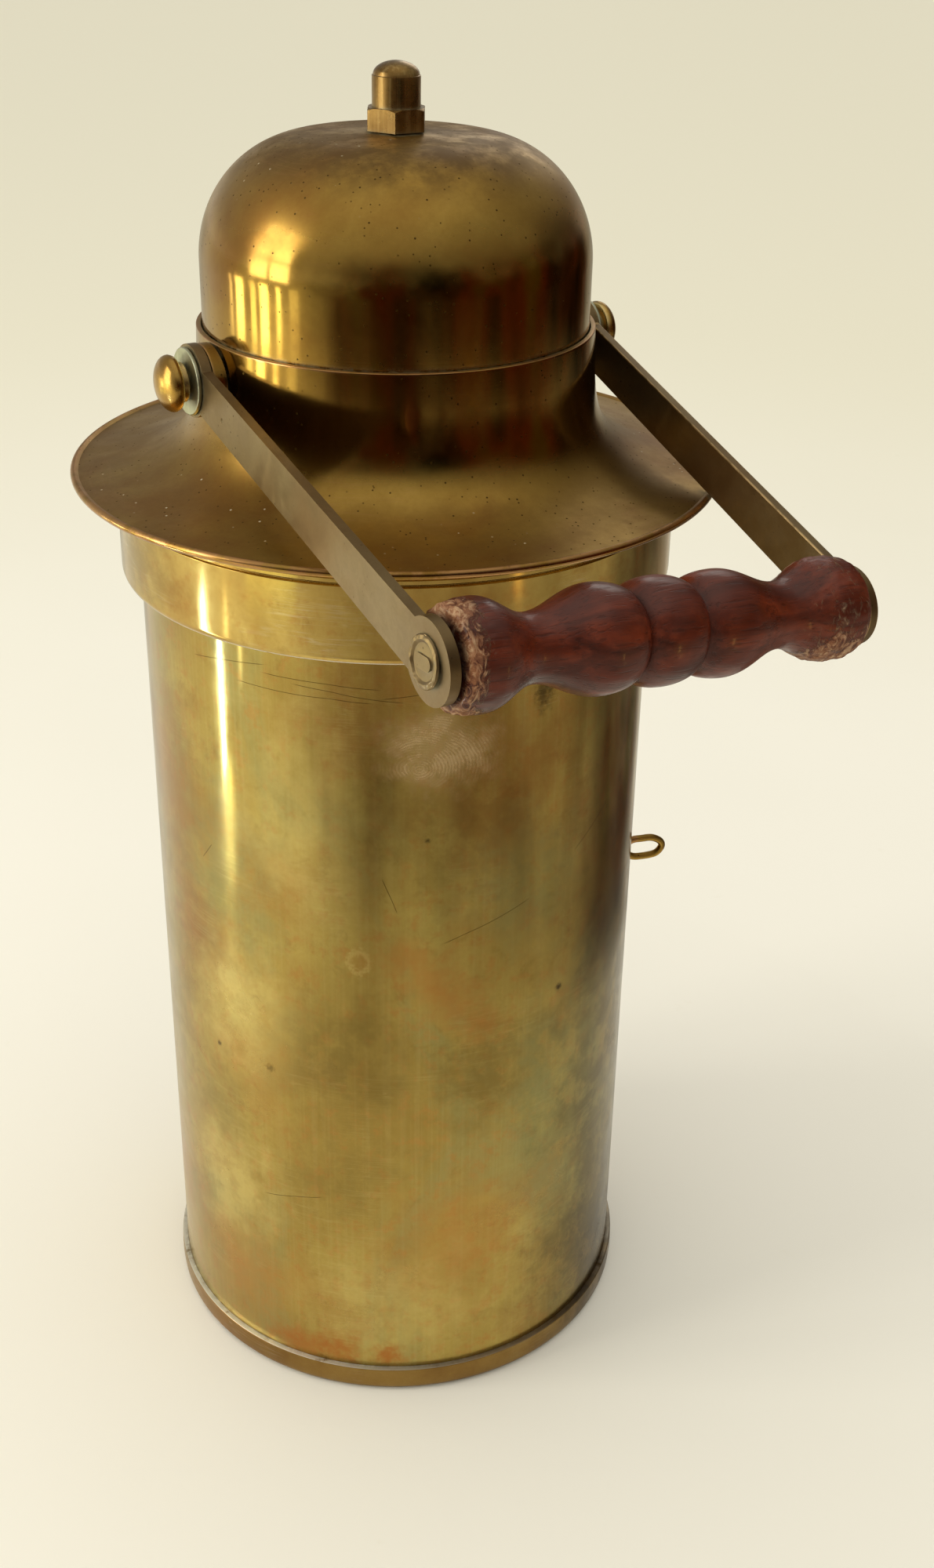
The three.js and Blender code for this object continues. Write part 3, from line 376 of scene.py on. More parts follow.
def sweep(path, radius, ring):
    """A round wire along a path of points, with closed ends."""
    points, faces = [], []
    side = (path[1] - path[0]).normalized().orthogonal().normalized()
    for i, here in enumerate(path):
        ahead = (path[min(i + 1, len(path) - 1)] - path[max(i - 1, 0)]).normalized()
        side = (side - ahead * side.dot(ahead)).normalized()
        other = ahead.cross(side)
        for k in range(ring):
            turn = k / ring * TAU
            points.append(tuple(here + (side * math.cos(turn) + other * math.sin(turn)) * radius))
    for i in range(len(path) - 1):
        for k in range(ring):
            m = (k + 1) % ring
            faces.append((i * ring + k, i * ring + m, (i + 1) * ring + m, (i + 1) * ring + k))
    last = (len(path) - 1) * ring
    faces += [tuple(range(ring))[::-1], tuple(range(last, last + ring))]
    return outward(points, faces, [0] * len(points))


def moved(raw, matrix):
    points, faces, wear = raw
    return np.array([tuple(matrix @ Vector(p)) for p in points]), faces, wear


def turn_z(angle):
    return Matrix.Rotation(angle, 4, "Z")


def shift(x=0.0, y=0.0, z=0.0):
    return Matrix.Translation((x, y, z))


ALONG_X = Matrix.Rotation(TAU / 4, 4, "Y")


def radial(raw, angle, height):
    """Lays a solid made along Z so that it points outward at an angle round the lamp."""
    return moved(raw, shift(z=height) @ turn_z(angle) @ ALONG_X)


# Blender meshes
def to_object(name, raw):
    points, faces, wear = raw
    mesh = bpy.data.meshes.new(name)
    mesh.from_pydata([tuple(MM * c for c in p) for p in points], [], faces)
    mesh.update()
    if any(wear):
        layer = mesh.attributes.new("wear", "FLOAT", "POINT")
        layer.data.foreach_set("value", [float(w) for w in wear])
    made = bpy.data.objects.new(name, mesh)
    bpy.context.scene.collection.objects.link(made)
    return made


def settle(obj):
    """Applies an object's modifiers to its mesh, and removes edges and faces without size."""
    graph = bpy.context.evaluated_depsgraph_get()
    mesh = bpy.data.meshes.new_from_object(obj.evaluated_get(graph))
    clean = bmesh.new()
    clean.from_mesh(mesh)
    bmesh.ops.dissolve_degenerate(clean, dist=SPECK * MM, edges=clean.edges)
    clean.to_mesh(mesh)
    clean.free()
    old = obj.data
    obj.modifiers.clear()
    obj.data = mesh
    bpy.data.meshes.remove(old)


def combine(obj, raws, operation="DIFFERENCE", crossing=False):
    """Cuts raw solids out of an object, or joins them to it. A crossing solid passes through itself."""
    tools = []
    for raw in raws:
        tool = to_object(obj.name + "_tool", raw)
        tools.append(tool)
        change = obj.modifiers.new("cut", "BOOLEAN")
        change.operation = operation
        change.solver = "EXACT"
        change.use_self = crossing
        change.object = tool
    settle(obj)
    for tool in tools:
        mesh = tool.data
        bpy.data.objects.remove(tool)
        bpy.data.meshes.remove(mesh)


def bevelled(obj, width, segments=3, angle=32):
    """Rounds an object's sharp edges, and marks the new faces as worn."""
    obj.data.materials.clear()
    for _ in range(2):
        obj.data.materials.append(None)
    change = obj.modifiers.new("edge", "BEVEL")
    change.width = width * MM
    change.segments = segments
    change.limit_method = "ANGLE"
    change.angle_limit = math.radians(angle)
    change.material = 1
    change.use_clamp_overlap = True
    settle(obj)
    mesh = obj.data
    worn = [float(p.material_index == 1) for p in mesh.polygons]
    if "wear" in mesh.attributes:
        mesh.attributes.remove(mesh.attributes["wear"])
    layer = mesh.attributes.new("wear", "FLOAT", "FACE")
    layer.data.foreach_set("value", worn)
    mesh.polygons.foreach_set("material_index", [0] * len(mesh.polygons))
    mesh.materials.clear()


def dress(obj, material, node, sharp=36):
    """Gives a finished mesh its shading and material, puts it in the body of the CAD node it stands for, and
    hides that node.
    """
    mesh = obj.data
    mesh.materials.clear()
    mesh.materials.append(material)
    mesh.shade_smooth()
    mesh.set_sharp_from_angle(angle=math.radians(sharp))
    weigh = obj.modifiers.new("normals", "WEIGHTED_NORMAL")
    weigh.keep_sharp = True
    weigh.weight = 60
    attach(obj, BODY_OF[node])
    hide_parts(node)


def piece(name, raw, material, node, cuts=(), bevel=0, sharp=36):
    made = to_object(name, raw)
    if cuts:
        combine(made, cuts)
    if bevel:
        bevelled(made, bevel)
    dress(made, material, node, sharp)
    return made


# Materials
def srgb(*values):
    """An 8-bit display colour as the linear colour that shaders take."""
    shares = [c / 255 for c in values]
    linear = [c / 12.92 if c <= 0.04045 else ((c + 0.055) / 1.055) ** 2.4 for c in shares]
    return (*linear, 1)


class Nodes:
    """Shorthand for building a node tree."""

    def __init__(self, tree):
        self.tree = tree

    def add(self, kind, **settings):
        made = self.tree.nodes.new(kind)
        for key, value in settings.items():
            setattr(made, key, value)
        return made

    def feed(self, socket, value):
        if isinstance(value, bpy.types.NodeSocket):
            self.tree.links.new(value, socket)
        else:
            socket.default_value = value

    def step(self, value, low, high, out_low=0, out_high=1):
        node = self.add("ShaderNodeMapRange", interpolation_type="SMOOTHSTEP")
        for socket, number in zip(node.inputs, (value, low, high, out_low, out_high)):
            self.feed(socket, number)
        return node.outputs["Result"]

    def calc(self, operation, a, b=0.0, clamp=False):
        node = self.add("ShaderNodeMath", operation=operation, use_clamp=clamp)
        self.feed(node.inputs[0], a)
        self.feed(node.inputs[1], b)
        return node.outputs[0]

    def times(self, a, b):
        return self.calc("MULTIPLY", a, b)

    def plus(self, a, b, clamp=False):
        return self.calc("ADD", a, b, clamp)

    def minus(self, a, b, clamp=False):
        return self.calc("SUBTRACT", a, b, clamp)

    def vector(self, operation, a, b=None, output="Vector"):
        node = self.add("ShaderNodeVectorMath", operation=operation)
        self.feed(node.inputs[0], a)
        if b is not None:
            self.feed(node.inputs[1], b)
        return node.outputs[output]

    def between(self, share, a, b):
        """A number that goes from a to b with the share."""
        node = self.add("ShaderNodeMix", data_type="FLOAT")
        self.feed(node.inputs[0], share)
        self.feed(node.inputs[2], a)
        self.feed(node.inputs[3], b)
        return node.outputs[0]

    def up(self, vector):
        node = self.add("ShaderNodeSeparateXYZ")
        self.feed(node.inputs[0], vector)
        return node.outputs["Z"]


class Shader(Nodes):
    """One material's nodes, round its own surface shader."""

    def __init__(self, name):
        self.material = bpy.data.materials.new(name)
        self.material.use_nodes = True
        super().__init__(self.material.node_tree)
        self.surface = self.tree.nodes["Principled BSDF"]
        self.place = self.add("ShaderNodeTexCoord").outputs["Object"]

    def set(self, **values):
        names = {
            "colour": "Base Color", "rough": "Roughness", "metal": "Metallic", "normal": "Normal",
            "coat": "Coat Weight", "coat_rough": "Coat Roughness", "aniso": "Anisotropic",
            "aniso_turn": "Anisotropic Rotation", "tangent": "Tangent", "ior": "IOR",
            "glass": "Transmission Weight", "gloss": "Specular IOR Level", "sheen": "Sheen Weight",
            "alpha": "Alpha",
        }
        for key, value in values.items():
            self.feed(self.surface.inputs[names[key]], value)

    def stretch(self, scale, turn=(0, 0, 0)):
        node = self.add("ShaderNodeMapping")
        self.feed(node.inputs["Vector"], self.place)
        node.inputs["Scale"].default_value = scale
        node.inputs["Rotation"].default_value = turn
        return node.outputs["Vector"]

    def cloud(self, scale, detail=4, rough=0.55, bend=0, vector=None):
        node = self.add("ShaderNodeTexNoise")
        self.feed(node.inputs["Vector"], vector or self.place)
        node.inputs["Scale"].default_value = scale
        node.inputs["Detail"].default_value = detail
        node.inputs["Roughness"].default_value = rough
        node.inputs["Distortion"].default_value = bend
        return node.outputs["Fac"]

    def grain(self, scale, detail=3, rough=0.55, bend=0, turn=(0, 0, 0)):
        """A cloud drawn out along the axes of the lower scales."""
        return self.cloud(1, detail, rough, bend, self.stretch(scale, turn))

    def dots(self, scale, low, high, out_low=1):
        """Small round dots, fading from a low to a high distance from their centres."""
        node = self.add("ShaderNodeTexVoronoi", feature="F1")
        self.feed(node.inputs["Vector"], self.place)
        node.inputs["Scale"].default_value = scale
        return self.step(node.outputs["Distance"], low, high, out_low, 0)

    def blend(self, share, a, b):
        node = self.add("ShaderNodeMix", data_type="RGBA")
        self.feed(node.inputs[0], share)
        self.feed(node.inputs[6], a)
        self.feed(node.inputs[7], b)
        return node.outputs[2]

    def ramp(self, value, stops):
        node = self.add("ShaderNodeValToRGB")
        self.feed(node.inputs["Fac"], value)
        bar = node.color_ramp
        while len(bar.elements) < len(stops):
            bar.elements.new(0.5)
        for element, (place, colour) in zip(bar.elements, stops):
            element.position = place
            element.color = colour
        return node.outputs["Color"]

    def mark_of(self, name):
        """A number that the mesh carries, such as its wear."""
        return self.add("ShaderNodeAttribute", attribute_name=name).outputs["Fac"]

    def crevice(self, distance):
        """Zero in the open and one deep in a joint."""
        node = self.add("ShaderNodeAmbientOcclusion", samples=8)
        node.inputs["Distance"].default_value = distance
        return self.minus(1.0, node.outputs["AO"], clamp=True)

    def height(self):
        return self.up(self.place)

    def facing_up(self):
        return self.up(self.add("ShaderNodeNewGeometry").outputs["Normal"])

    def distance(self, place, squeeze=(1, 1, 1)):
        """Distance from a place, in metres, where a squeeze above one makes the shape thinner."""
        away = self.vector("SUBTRACT", self.place, place)
        return self.vector("LENGTH", self.vector("MULTIPLY", away, squeeze), output="Value")

    def stain(self, at, reach, share, tall=1.0, ring=False):
        """A soft ragged spot on the wall, mottled inside, or a ring."""
        reach *= MM
        away = self.distance(on_wall(at), (1, 1, 1 / tall))
        ragged = self.minus(self.cloud(2.6 / reach, detail=7, rough=0.66), 0.5)
        away = self.plus(away, self.times(ragged, reach * 1.5))
        if ring:
            away = self.calc("ABSOLUTE", self.minus(away, reach * 0.8))
            return self.step(away, 0, reach * 0.35, share, 0)
        spot = self.step(away, reach * 0.1, reach, share, 0)
        return self.times(spot, self.step(self.cloud(150, detail=6, rough=0.7), 0.36, 0.56, 0.5, 1))

    def scratch(self, at, tilt, reach, thin=0.13):
        """A hairline along the wall: where a tilted plane cuts it, near a place."""
        centre = on_wall(at)
        azimuth, slope = math.radians(at[0]), math.radians(tilt)
        facing = (math.sin(azimuth) * math.sin(slope), -math.cos(azimuth) * math.sin(slope), math.cos(slope))
        across = self.vector("DOT_PRODUCT", self.place, facing, "Value")
        waver = self.times(self.cloud(60, detail=1), 0.0011)
        away = self.minus(self.plus(across, waver), Vector(centre).dot(Vector(facing)))
        line = self.step(self.calc("ABSOLUTE", away), 0, thin * MM, 1, 0)
        return self.times(line, self.step(self.distance(centre), reach * MM * 0.8, reach * MM, 1, 0))

    def finger_mark(self, at, reach, pitch):
        """A fingertip's dull print, with its fine ridges."""
        azimuth, height = at
        mark = self.stain(at, reach, 1.0, tall=0.8)
        away = self.distance(on_wall((azimuth - 5, height - 4)), (1, 1, 1.3))
        away = self.plus(away, self.times(self.cloud(130, detail=2), 0.003))
        ridges = self.calc("SINE", self.times(away, TAU / (pitch * MM)))
        return self.times(mark, self.step(ridges, -0.6, 0.8, 0.7, 1))

    def at_height(self, place, thick):
        """One on a level line round the lamp, fading over its thickness."""
        away = self.calc("ABSOLUTE", self.minus(self.height(), place * MM))
        return self.step(away, 0, thick * MM, 1, 0)

    def bump(self, height, depth, under=None):
        node = self.add("ShaderNodeBump")
        self.feed(node.inputs["Height"], height)
        node.inputs["Distance"].default_value = depth
        node.inputs["Strength"].default_value = 1
        if under is not None:
            self.feed(node.inputs["Normal"], under)
        return node.outputs["Normal"]

    def hairlines(self, scale, turn, thin=0.02):
        """Long thin lines where a stretched cloud crosses its middle value."""
        away = self.calc("ABSOLUTE", self.minus(self.grain(scale, 1.5, 0.4, 0.2, turn), 0.5))
        return self.step(away, 0, thin, 1, 0)


def on_wall(at):
    """The place on the wall, in metres, at an azimuth in degrees and a height in millimetres."""
    azimuth = math.radians(at[0])
    return BODY_R * MM * math.cos(azimuth), BODY_R * MM * math.sin(azimuth), at[1] * MM


AROUND = (34, 34, 3200)
UPRIGHT = (1500, 1500, 26)
NUT_GRAIN = (2600, 2600, 60)
TONE_PLACES = (0.30, 0.44, 0.56, 0.72)
PEPPER = srgb(44, 28, 14)
MOTE = srgb(196, 186, 158)


def brass(
    name, tones, edge, grime, rough=(0.2, 0.34), patch=16, green=None, flecks=None, spots=0.0, grain=AROUND,
    lines=0.000002, streaks=0.0, dust=None, aniso=0.0, waves=0.0001, dull=None, film=0.5, satin=0.0,
    scratched=1.0, kept_edge=0.36, stains=(), marks=None, painted_edge_sheen=0.0, metal=1.0,
):
    """Aged brass: cloudy tones under films, specks, stains and dust, with rubbed edges, some given a painted
    sheen, and dirty joints.
    """
    s = Shader(name)
    tones = [srgb(*tone) for tone in tones]
    wide = s.cloud(patch, detail=6, rough=0.58, bend=0.25)
    colour = s.ramp(wide, list(zip(TONE_PLACES, tones)))
    mist = s.cloud(patch * 5.5, detail=6, rough=0.62, bend=0.4)
    colour = s.blend(s.step(mist, 0.42, 0.72, 0, 0.45), colour, tones[1])
    if green:
        tilted = s.stretch((1, 1, 0.7), (0.4, 0.7, 1.1))
        veil = s.cloud(patch * 1.7, detail=6, rough=0.62, bend=1.2, vector=tilted)
        colour = s.blend(s.step(veil, 0.48, 0.64, 0, 0.6), colour, green)
    if flecks:
        colour = s.blend(s.step(s.cloud(240, detail=5, rough=0.72), 0.5, 0.66, 0, 0.5), colour, flecks)
        shade = s.cloud(170, detail=6, rough=0.74, bend=0.6)
        colour = s.blend(s.step(shade, 0.53, 0.68, 0, 0.42), colour, tones[0])
    grit = s.cloud(900, detail=3, rough=0.7)
    colour = s.blend(s.step(grit, 0.3, 0.8, 0, 0.22), colour, tones[0])
    if streaks:
        fine = s.grain((1100, 1100, 16), 4, 0.6)
        colour = s.blend(s.step(fine, 0.44, 0.66, 0, streaks), colour, edge)
    gloss = s.step(mist, 0.3, 0.7, rough[0], rough[1])
    if dull:
        dim = s.step(s.cloud(26, detail=6, rough=0.6, bend=0.3), 0.46, 0.68)
        colour = s.blend(s.times(dim, film), colour, dull)
        gloss = s.plus(gloss, s.times(dim, 0.05))
    for azimuth, height, reach, share, tint, *form in stains:
        colour = s.blend(s.stain((azimuth, height), reach, share, *form), colour, tint)
    if satin:
        gloss = s.plus(gloss, s.times(s.step(s.facing_up(), 0.1, 0.75), satin))
    if spots:
        where = s.step(s.cloud(70, detail=3), 0.56 - spots, 0.68 - spots)
        pepper = s.times(s.dots(520, 0.07, 0.15), where)
        colour = s.blend(s.times(pepper, 0.75), colour, PEPPER)
        gloss = s.plus(gloss, s.times(pepper, 0.3))
    if dust:
        patchy = s.step(s.cloud(110, detail=6, rough=0.68), 0.3, 0.6)
        lying = s.times(s.step(s.facing_up(), 0.6, 0.985), patchy)
        lying = s.times(lying, s.step(s.height(), 0.27, 0.298, 0.3, 1))
        colour = s.blend(s.times(lying, 0.7), colour, dust)
        gloss = s.plus(gloss, s.times(lying, 0.2))
        motes = s.times(s.dots(330, 0.05, 0.11), s.step(s.cloud(26, detail=3), 0.5, 0.62))
        motes = s.times(motes, s.step(s.facing_up(), 0.5, 0.9, 0, 0.8))
        colour = s.blend(motes, colour, MOTE)
        metal = s.minus(metal, motes)
    if marks:
        colour, gloss, metal = marks(s, colour, gloss)
    kept = s.step(s.cloud(160, detail=5, rough=0.7), kept_edge, kept_edge + 0.2)
    rubbed = s.times(s.mark_of("wear"), kept)
    # Painted highlight: rubbed edges can lose metal and show their pale edge colour as a bright line.
    if painted_edge_sheen:
        metal = s.minus(metal, s.times(rubbed, painted_edge_sheen))
    colour = s.blend(s.times(rubbed, 0.9), colour, edge)
    corner = s.step(s.crevice(0.0022), 0.16, 0.62)
    deep = s.times(corner, s.step(s.cloud(380, detail=5, rough=0.7), 0.3, 0.6))
    colour = s.blend(s.times(deep, 0.75), colour, grime)
    gloss = s.plus(gloss, s.times(deep, 0.35), clamp=True)
    normal = s.bump(s.cloud(24, detail=2), waves)
    normal = s.bump(s.grain(grain, 3, 0.6), lines, normal)
    hair = s.calc(
        "MAXIMUM", s.hairlines((30, 30, 900), (0.9, 0.35, 0.2)), s.hairlines((26, 26, 760), (0.2, -0.5, 0.7)))
    hair = s.times(hair, s.step(s.cloud(38, detail=3), 0.5, 0.64))
    colour = s.blend(s.times(hair, 0.13 * scratched), colour, edge)
    s.set(colour=colour, rough=gloss, metal=metal, normal=normal)
    if aniso:
        tangent = s.add("ShaderNodeTangent", direction_type="RADIAL", axis="Z")
        s.set(aniso=aniso, aniso_turn=0.25, tangent=tangent.outputs[0])
    return s.material


def steel(name, tone, stain):
    """Dull steel with stained patches and pale dirt in its corners."""
    s = Shader(name)
    patch = s.cloud(60, detail=6, rough=0.6, bend=0.5)
    colour = s.ramp(patch, [(0.35, stain), (0.55, tone)])
    deep = s.step(s.crevice(0.002), 0.3, 0.8, 0, 0.7)
    colour = s.blend(deep, colour, srgb(150, 150, 128))
    normal = s.bump(s.grain((900, 900, 60)), 0.000008)
    s.set(colour=colour, rough=s.step(patch, 0.3, 0.7, 0.55, 0.3), metal=1.0, normal=normal)
    return s.material


def varnished_wood():
    """Red varnished wood with dark pores, and raw torn wood where the mesh is bare."""
    s = Shader("varnished_wood")
    rings = s.grain((170, 170, 18), 6, 0.64, 0.6)
    reds = [srgb(54, 18, 8), srgb(82, 29, 12), srgb(106, 41, 18), srgb(70, 24, 10)]
    colour = s.ramp(rings, list(zip((0.28, 0.46, 0.60, 0.78), reds)))
    pores = s.step(s.grain((1500, 1500, 70), 2), 0.54, 0.68)
    colour = s.blend(s.times(pores, 0.35), colour, srgb(30, 9, 5))
    patch = s.step(s.cloud(70, detail=6, rough=0.66), 0.42, 0.64, 0, 0.5)
    colour = s.blend(patch, colour, srgb(56, 18, 8))
    bare = s.mark_of("bare")
    torn = s.cloud(150, detail=7, rough=0.72, bend=0.5)
    curls = s.grain((330, 330, 620), 5, 0.6, 1.6)
    broken = s.plus(s.times(s.minus(torn, 0.5), 1.5), s.times(s.minus(curls, 0.5), 1.2))
    bare = s.times(bare, s.step(s.plus(bare, broken), 0.4, 0.8))
    raw = s.ramp(curls, [(0.34, srgb(88, 46, 26)), (0.5, srgb(144, 96, 62)), (0.66, srgb(200, 164, 126))])
    colour = s.blend(s.times(bare, 0.85), colour, raw)
    grime = s.step(s.crevice(0.003), 0.3, 0.8, 0, 0.8)
    colour = s.blend(grime, colour, srgb(26, 10, 6))
    normal = s.bump(rings, 0.00014)
    normal = s.bump(pores, -0.00004, normal)
    normal = s.bump(s.times(curls, s.step(bare, 0, 0.5)), 0.0006, normal)
    rough = s.plus(s.step(s.cloud(220, detail=5), 0.35, 0.65, 0.3, 0.46), s.times(bare, 0.4))
    s.set(colour=colour, rough=rough, metal=0.0, normal=normal, gloss=0.32, coat=0.22, coat_rough=0.1)
    return s.material


def clear_glass(name, tint):
    s = Shader(name)
    smear = s.step(s.cloud(46, detail=5, rough=0.6, bend=1.4), 0.5, 0.8, 0.0, 0.02)
    waves = s.bump(s.cloud(30, detail=1), 0.00003)
    s.set(colour=tint, rough=smear, metal=0.0, glass=1.0, ior=1.45, alpha=0.42, normal=waves)
    return s.material


def woven_cotton():
    """Ribbed cotton, charred at its burning end."""
    s = Shader("woven_cotton")
    weave = s.add("ShaderNodeTexWave", wave_type="BANDS", bands_direction="Z")
    s.feed(weave.inputs["Vector"], s.place)
    weave.inputs["Scale"].default_value = 420
    weave.inputs["Distortion"].default_value = 1.5
    ribs = s.grain((1600, 1600, 260), 2)
    colour = s.blend(s.times(ribs, 0.5), srgb(222, 210, 182), srgb(168, 150, 118))
    char = s.step(s.height(), 0.1345, 0.1385)
    colour = s.blend(char, colour, srgb(22, 18, 16))
    normal = s.bump(weave.outputs["Fac"], 0.0002)
    s.set(colour=colour, rough=0.9, metal=0.0, sheen=0.25, normal=s.bump(ribs, 0.0002, normal))
    return s.material


def tinned_mirror():
    """Sooty tin plate with dark spots."""
    s = Shader("tinned_mirror")
    soot = s.cloud(20, detail=6, rough=0.6, bend=0.6)
    colour = s.ramp(soot, [(0.35, srgb(150, 146, 136)), (0.6, srgb(216, 214, 206))])
    colour = s.blend(s.dots(160, 0.04, 0.12, 0.7), colour, srgb(96, 84, 66))
    normal = s.bump(s.cloud(30, detail=2), 0.0003)
    s.set(colour=colour, rough=s.step(soot, 0.3, 0.7, 0.26, 0.12), metal=1.0, normal=normal)
    return s.material


PALE_GRIME = srgb(176, 170, 140)
DARK_GRIME = srgb(70, 56, 34)
OLIVE = srgb(128, 108, 56)
MOSS = srgb(100, 86, 46)
ORANGE = srgb(182, 130, 66)
GREENISH = srgb(142, 142, 94)
PALE = srgb(214, 194, 120)
BROWN = srgb(152, 108, 54)
RUSTY = srgb(154, 104, 54)
UMBER = srgb(66, 52, 30)
RUST = srgb(172, 106, 48)

# Stains: azimuth in degrees, height and reach in millimetres, share, colour, then how much taller than wide
STAINS = [
    (236, 195, 26, 0.6, BROWN), (262, 180, 34, 0.65, BROWN), (180, 168, 26, 0.55, BROWN, 1.6),
    (188, 129, 17, 0.65, RUSTY), (201, 150, 20, 0.5, GREENISH, 2.2), (204, 112, 26, 0.6, PALE),
    (196, 55, 24, 0.6, PALE), (222, 168, 24, 0.4, PALE, 1.8), (228, 104, 26, 0.7, OLIVE),
    (265, 98, 24, 0.75, OLIVE), (196, 80, 18, 0.5, OLIVE), (227, 68, 20, 0.5, OLIVE),
    (250, 165, 30, 0.35, OLIVE), (203, 27, 22, 0.5, ORANGE), (256, 46, 26, 0.5, ORANGE),
    (240, 26, 28, 0.35, PALE), (286, 78, 26, 0.6, GREENISH, 2.2), (272, 150, 24, 0.45, GREENISH),
    (312, 85, 46, 0.8, MOSS, 2.6), (325, 75, 40, 0.8, MOSS, 2.6), (300, 28, 36, 0.75, MOSS, 1.2),
    (318, 22, 34, 0.8, UMBER, 1.2), (172, 110, 28, 0.5, OLIVE, 2.4),
    # four orange flecks in a slanting row, and rust at the foot
    (244, 134, 9, 0.6, ORANGE), (249, 128, 10, 0.6, ORANGE), (255, 121, 11, 0.6, ORANGE),
    (261, 113, 8, 0.6, ORANGE), (216, 10, 13, 0.75, RUST, 0.6), (227, 11, 10, 0.8, RUST),
    (240, 11, 6, 0.85, RUST),
    # an oval spot with a ring, and small dark pits
    (233.6, 132.7, 4.6, 0.5, ORANGE, 1.3), (233.6, 132.7, 2.8, 0.4, PALE, 1.3, True),
    (274.5, 199, 4, 0.8, UMBER, 2.2), (211.5, 97.4, 1.6, 0.9, UMBER), (195.4, 97.2, 1.1, 0.9, UMBER),
    (282.2, 116.7, 1.5, 0.9, UMBER), (248.5, 164.9, 0.9, 0.9, UMBER),
    # the door's side
    (20, 150, 40, 0.55, BROWN, 1.5), (60, 60, 32, 0.45, GREENISH), (150, 110, 36, 0.5, OLIVE, 1.6),
    (130, 190, 26, 0.5, BROWN), (345, 60, 30, 0.5, ORANGE), (165, 40, 26, 0.5, ORANGE),
]
BAND_STAINS = [
    (176, 221, 30, 0.6, OLIVE), (196, 216, 12, 0.5, BROWN), (250, 219, 20, 0.4, BROWN),
    (40, 220, 30, 0.5, BROWN),
]
# The umber at 300 and 322 degrees is painted shade on the pan's shaded side; the others are stains.
PAN_STAINS = [
    (300, 4, 26, 0.75, UMBER), (322, 4, 32, 0.85, UMBER), (190, 3, 24, 0.5, BROWN), (80, 4, 30, 0.6, UMBER),
]
# Scratches: azimuth, height, tilt in degrees, reach
SCRATCHES = [
    (204, 203.6, 9, 11), (222, 199.4, -1, 17), (232, 200.6, -6, 13), (226, 202.8, -2, 14), (247, 201.2, 7, 9),
    (194.5, 152, 52, 3.2), (262, 142, 20, 12), (241, 151, -70, 5), (291, 158, 34, 8), (216, 60, 15, 9),
    (75, 214, 4, 14), (148, 90, 40, 10), (350, 120, -25, 12),
]
PRINT_AT = (251.6, 187.0)
PRINT_REACH = 17
RIDGE_PITCH = 0.75


def wall_marks(s, colour, gloss):
    """The body's marks: a finger print, hairlines, a painted shadow line under the band, a duller lower half.
    """
    print_share = s.finger_mark(PRINT_AT, PRINT_REACH, RIDGE_PITCH)
    colour = s.blend(s.times(print_share, 0.85), colour, srgb(200, 172, 130))
    gloss = s.plus(gloss, s.times(print_share, 0.25))
    metal = s.minus(1.0, s.times(print_share, 0.4))
    for azimuth, height, tilt, reach in SCRATCHES:
        line = s.scratch((azimuth, height), tilt, reach)
        colour = s.blend(s.times(line, 0.92), colour, srgb(74, 50, 26))
    # Painted shadow: a dark line just under the band's foot, where the band shades the wall.
    colour = s.blend(s.times(s.at_height(BAND_FOOT - 0.5, 0.8), 0.85), colour, srgb(70, 52, 28))
    gloss = s.plus(gloss, s.step(s.height(), 0.108, 0.168, 0.12, 0))
    return colour, gloss, metal


BODY = brass(
    "rolled_brass", [(146, 120, 60), (172, 148, 78), (188, 166, 90), (160, 130, 64)],
    edge=srgb(226, 208, 146), grime=srgb(112, 84, 44), green=srgb(150, 146, 92), flecks=srgb(182, 128, 66),
    dull=srgb(162, 118, 60), rough=(0.08, 0.14), patch=13, grain=UPRIGHT, lines=0.0000007, streaks=0.06,
    aniso=0.5, waves=0.00006, scratched=0.7, stains=STAINS, marks=wall_marks)
BAND = brass(
    "rubbed_brass", [(164, 132, 70), (192, 162, 90), (204, 178, 104), (176, 144, 78)],
    edge=srgb(250, 248, 236), grime=srgb(96, 78, 42), flecks=srgb(188, 140, 74), dull=srgb(158, 126, 62),
    film=0.55, rough=(0.09, 0.15), patch=20, kept_edge=0.2, aniso=0.4, lines=0.000001, waves=0.00008,
    painted_edge_sheen=0.6, stains=BAND_STAINS)
DARK = brass(
    "spun_brass", [(136, 103, 46), (158, 124, 57), (174, 140, 68), (144, 107, 48)],
    edge=srgb(178, 134, 86), grime=PALE_GRIME, dust=srgb(98, 74, 46), dull=srgb(130, 82, 40),
    rough=(0.08, 0.14), patch=18, spots=0.2, aniso=0.3, satin=0.26, waves=0.00007)
PAN = brass(
    "pan_brass", [(124, 92, 48), (148, 118, 64), (160, 132, 76), (134, 104, 54)],
    edge=srgb(246, 244, 230), grime=srgb(92, 72, 42), rough=(0.28, 0.38), patch=24, aniso=0.4,
    kept_edge=0.26, painted_edge_sheen=0.3, stains=PAN_STAINS)
KNOB = brass(
    "knob_brass", [(140, 104, 48), (166, 130, 64), (182, 146, 76), (150, 112, 54)],
    edge=srgb(214, 190, 130), grime=PALE_GRIME, rough=(0.16, 0.3), patch=60)
NUT = brass(
    "drawn_brass", [(106, 80, 42), (130, 100, 55), (148, 118, 68), (116, 86, 45)],
    edge=srgb(200, 172, 116), grime=PALE_GRIME, rough=(0.24, 0.36), patch=90, grain=NUT_GRAIN,
    lines=0.00002, streaks=0.3)
STRAP = brass(
    "strap_brass", [(108, 88, 58), (125, 104, 71), (136, 116, 81), (112, 89, 55)],
    edge=srgb(190, 162, 116), grime=PALE_GRIME, dull=srgb(122, 92, 54), rough=(0.34, 0.46), patch=40,
    spots=0.06, lines=0.000004, waves=0.0001, metal=0.88)
